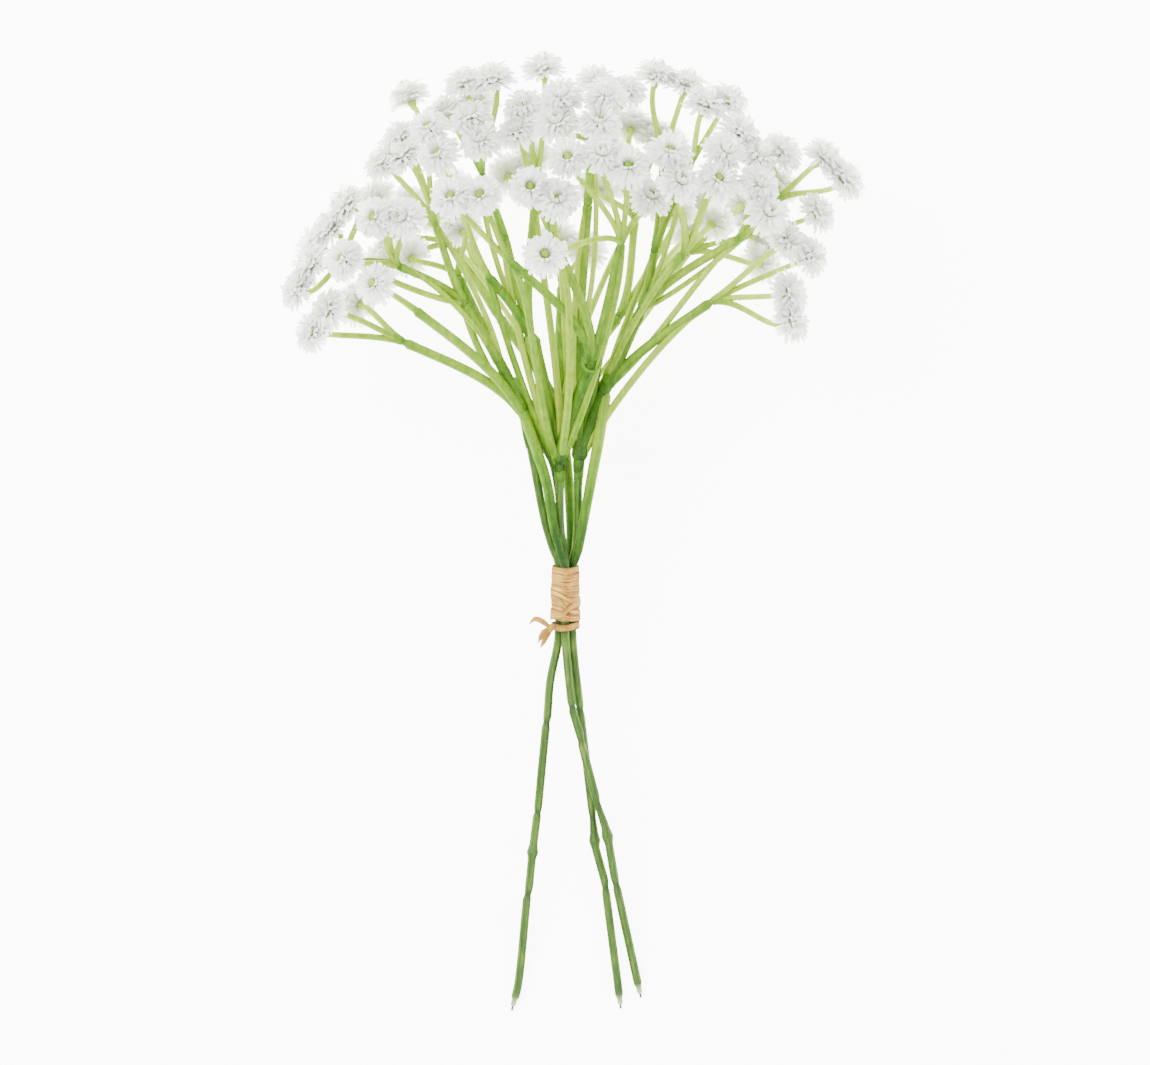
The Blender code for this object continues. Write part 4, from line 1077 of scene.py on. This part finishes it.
# Each turn: y of its middle, width, how far its right edge drops and how far it lies out.
WRAPS = (
    (-12.1, 2.8, 0.0, 0.08), (-14.0, 2.7, 0.2, 0.20), (-15.9, 2.8, 0.3, 0.10), (-17.9, 2.8, 0.2, 0.24),
    (-19.9, 3.0, 0.6, 0.12), (-22.0, 3.0, 0.8, 0.24), (-24.2, 3.0, 0.5, 0.10), (-26.2, 2.8, 0.3, 0.20),
    (-20.2, 1.8, 2.8, 0.50), (-22.9, 1.7, 5.4, 0.44), (-24.4, 2.2, -4.4, 0.58), (-26.0, 1.7, 2.2, 0.50),
)
LAST_WRAP = (-29.6, 2.1, -0.5, 0.25)
# The knot: two lumps, each squashed and then turned.
KNOT = (-7.6, -30.2, 1.7)
KNOT_RADIUS = 1.5
KNOT_LUMPS = (((1.0, 0.62, 0.8), 0.6), ((0.66, 1.0, 0.72), -0.3))
TAILS = (
    ((-7.8, -30.0, 1.9), (-10.4, -28.0, 2.3), (-12.6, -27.3, 2.2), (-14.4, -28.8, 1.7)),
    ((-7.8, -30.4, 1.8), (-9.6, -31.4, 2.6), (-10.6, -33.0, 2.4), (-11.6, -34.6, 1.6)),
    ((-7.6, -30.8, 1.5), (-8.6, -32.2, 1.6), (-9.8, -34.4, 1.3), (-10.8, -36.4, 0.4)),
)
TAIL_RADII = (0.8, 1.15, 1.0, 0.15)
TAIL_GROOVE = 0.12
TAIL_SPACING = 0.8
FLAT = (1.0, 0.75, 0.3, 0.75, 1.0, 0.75, 0.3, 0.75)
FRAYS = 3
FRAY_SPREAD = 0.8
FRAY_REACH = (0.0, 0.9, 1.7)
FRAY_RADII = (0.16, 0.12, 0.04)
FRAY_TONE = 0.4
RAFFIA_SEED = 5
FIBRE_SCALE = (2.2, 0.12, 30.0)
STAIN_SCALE = 240.0

raffia, tree = new_finish("raffia", Specular_IOR_Level=0.2)
fibre_place = [attribute(tree, name) * scale for name, scale in zip(("across", "along", "tone"), FIBRE_SCALE)]
grain = add_node(tree, "ShaderNodeCombineXYZ", {}, dict(enumerate(fibre_place)))
fibres = noise(tree, grain, 1.0, 5.0)
stain = noise(tree, place(tree), STAIN_SCALE)
straw = ramp(tree, fibres * 0.7 + stain * 0.3, (0.32, (0.16, 0.058, 0.006)), (0.5, (0.40, 0.205, 0.030)),
             (0.68, (0.62, 0.405, 0.100)))
# Each turn is painted dark towards its edges, as painted shade where the turns lie against one another, and
# the tails and frays are painted dark along the fold down their middle.
shaded_edges_and_folds = blended(tree, attribute(tree, "groove") * 0.95, straw, (0.055, 0.018, 0.002))
paint(tree, Base_Color=shaded_edges_and_folds, Roughness=0.6 + fibres * 0.25, Normal=bump(tree, fibres, 0.0003))

tilt = math.atan(AXIS_SLOPE)
tie_along = Vector((0.0, math.cos(tilt), math.sin(tilt)))
tie_up = Vector((0.0, -math.sin(tilt), math.cos(tilt)))


def tie_spot(turn, out, along):
    """A point of the tie: this far round it, out from the stems' axes, and along from its middle."""
    way = Vector((math.cos(turn), math.sin(turn)))
    spread = 0.0
    corner = Vector((0.0, 0.0))
    for stem in TIE_STEMS:
        pull = math.exp(Vector(stem).dot(way) * CORNER_PULL)
        corner += Vector(stem) * pull
        spread += pull
    flat = corner / spread + way * out
    return Vector((flat.x, 0.0, 0.0)) + tie_up * flat.y + tie_along * along


def wrap(y, width, drop, lift, draw):
    """One turn of the strip: a ring drawn out to its width, bowed a little, and given its thickness."""
    shape = bmesh.new()
    layers = {name: shape.verts.layers.float.new(name) for name in ("tone", "across", "along", "groove")}
    bmesh.ops.create_circle(shape, cap_ends=False, segments=TIE_STEPS, radius=1.0)
    bands = [shape.verts[:]]
    edges = shape.edges[:]
    for _ in range(TIE_ROWS):
        grown = bmesh.ops.extrude_edge_only(shape, edges=edges)["geom"]
        edges = [piece for piece in grown if isinstance(piece, bmesh.types.BMEdge)]
        bands.append([piece for piece in grown if isinstance(piece, bmesh.types.BMVert)])
    shade = draw.random()
    phase = draw.uniform(0.0, math.tau)
    middle = over_axis(TIE_X, y, 0.0)
    for row, band in enumerate(bands):
        across = row / TIE_ROWS * 2 - 1
        for vertex in band:
            turn = math.atan2(vertex.co.y, vertex.co.x)
            long_wave = RAFFIA_WAVES[0] * math.sin(3 * turn + phase + 2 * across)
            short_wave = RAFFIA_WAVES[1] * math.sin(7 * turn - phase)
            out = TIE_INNER + lift + RAFFIA_BOW * (1 - across * across) + (long_wave + short_wave)
            wider = 1 + RAFFIA_WAVES[2] * math.sin(2 * turn + phase)
            along = across * width / 2 * wider - drop / 2 * math.cos(turn)
            vertex.co = middle + tie_spot(turn, out, along)
            vertex[layers["tone"]] = shade
            vertex[layers["across"]] = across * width / 2
            vertex[layers["along"]] = turn * 4
            # The painted shade grows towards the strip's edges.
            vertex[layers["groove"]] = abs(across) ** EDGE_SHADE
    bmesh.ops.recalc_face_normals(shape, faces=shape.faces)
    bmesh.ops.solidify(shape, geom=shape.faces[:], thickness=-RAFFIA_THICK)
    bmesh.ops.recalc_face_normals(shape, faces=shape.faces)
    return shape


draw = random.Random(RAFFIA_SEED)
band = piece_of("wound_raffia", [wrap(*turn, draw) for turn in WRAPS], raffia)
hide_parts("raffia_band")

shapes = [wrap(*LAST_WRAP, draw)]
for number, (squash, turn) in enumerate(KNOT_LUMPS):
    shape = bmesh.new()
    bmesh.ops.create_uvsphere(shape, u_segments=20, v_segments=12, radius=KNOT_RADIUS)
    bmesh.ops.scale(shape, verts=shape.verts, vec=squash)
    bmesh.ops.rotate(shape, verts=shape.verts, matrix=Matrix.Rotation(turn, 3, "Z"))
    bmesh.ops.translate(shape, verts=shape.verts, vec=over_axis(*KNOT))
    layer = shape.verts.layers.float.new("across")
    for vertex in shape.verts:
        vertex[layer] = vertex.co.x * (1 - number) + vertex.co.y * number
    shapes.append(shape)
for number, tail in enumerate(TAILS):
    spots = route_points(tail)
    run, radii = smooth_run(spots, TAIL_RADII, TAIL_SPACING)
    shapes.append(grow(run, radii, FLAT, [0.2 * number] * len(run)))
    # A tail keeps only a little of the painted shade along its fold.
    groove = shapes[-1].verts.layers.float["groove"]
    for vertex in shapes[-1].verts:
        vertex[groove] *= TAIL_GROOVE
    for _ in range(FRAYS):
        start = spots[2].lerp(spots[3], draw.uniform(0.0, 0.5))
        aside = Vector([draw.uniform(-0.5, 0.5) for _ in range(3)]) * FRAY_SPREAD
        way = (spots[3] - spots[2]).normalized() + aside
        run = [start + way * reach for reach in FRAY_REACH]
        shapes.append(grow(run, FRAY_RADII, FLAT, [FRAY_TONE] * len(run)))
knot = piece_of("raffia_bow", shapes, raffia)
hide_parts("raffia_knot")


# Studio: a plain pale floor under the bunch, a wide soft light over it, and the camera straight
# above, because the bunch lies down and the photograph shows it from the side.
FLOOR_SIZE = 6.0
PAPER_SCALE = 3.0
ROOM_LIGHT = 2.2
bpy.ops.mesh.primitive_plane_add(size=FLOOR_SIZE)
floor = bpy.context.object
floor.name = "studio_floor"
pale, tree = new_finish(
    "pale_floor", Roughness=0.9, Emission_Color=(1.0, 1.0, 1.0, 1.0), Emission_Strength=8.0,
)
paper = noise(tree, place(tree), PAPER_SCALE)
paint(tree, Base_Color=ramp(tree, paper, (0.3, (0.93, 0.93, 0.93)), (0.7, (0.95, 0.95, 0.95))))
floor.data.materials.append(pale)
floor.visible_glossy = False

world = bpy.data.worlds.new("studio")
world.use_nodes = True
room = world.node_tree.nodes["Background"].inputs
room["Color"].default_value = (1.0, 1.0, 1.0, 1.0)
room["Strength"].default_value = ROOM_LIGHT
bpy.context.scene.world = world


def soft_light(name, spot, size, energy):
    light = bpy.data.lights.new(name, "AREA")
    light.size = size
    light.energy = energy
    lamp = bpy.data.objects.new(name, light)
    lamp.location = spot
    lamp.rotation_mode = "QUATERNION"
    lamp.rotation_quaternion = Vector(spot).to_track_quat("Z", "Y")
    bpy.context.scene.collection.objects.link(lamp)


# Each light's place and size in metres, and its watts.
soft_light("key", (-0.9, 0.7, 1.5), 1.0, 60.0)
soft_light("fill", (1.2, -0.6, 1.2), 1.4, 12.0)

# The width that the photograph takes in and the y of its middle. These heights are in metres.
PHOTO_WIDTH = 359.4
PHOTO_MIDDLE_Y = -0.16
MIDDLE_HEIGHT = 0.045
CAMERA_HEIGHT = 4.0
SENSOR_WIDTH = 36.0
view = bpy.data.cameras.new("view")
view.sensor_width = SENSOR_WIDTH
view.lens = view.sensor_width * (CAMERA_HEIGHT - MIDDLE_HEIGHT) / (PHOTO_WIDTH * MM)
camera = bpy.data.objects.new("camera", view)
camera.location = (FRAME_SHIFT.x * MM, (FRAME_SHIFT.y + PHOTO_MIDDLE_Y) * MM, CAMERA_HEIGHT)
bpy.context.scene.collection.objects.link(camera)
bpy.context.scene.camera = camera
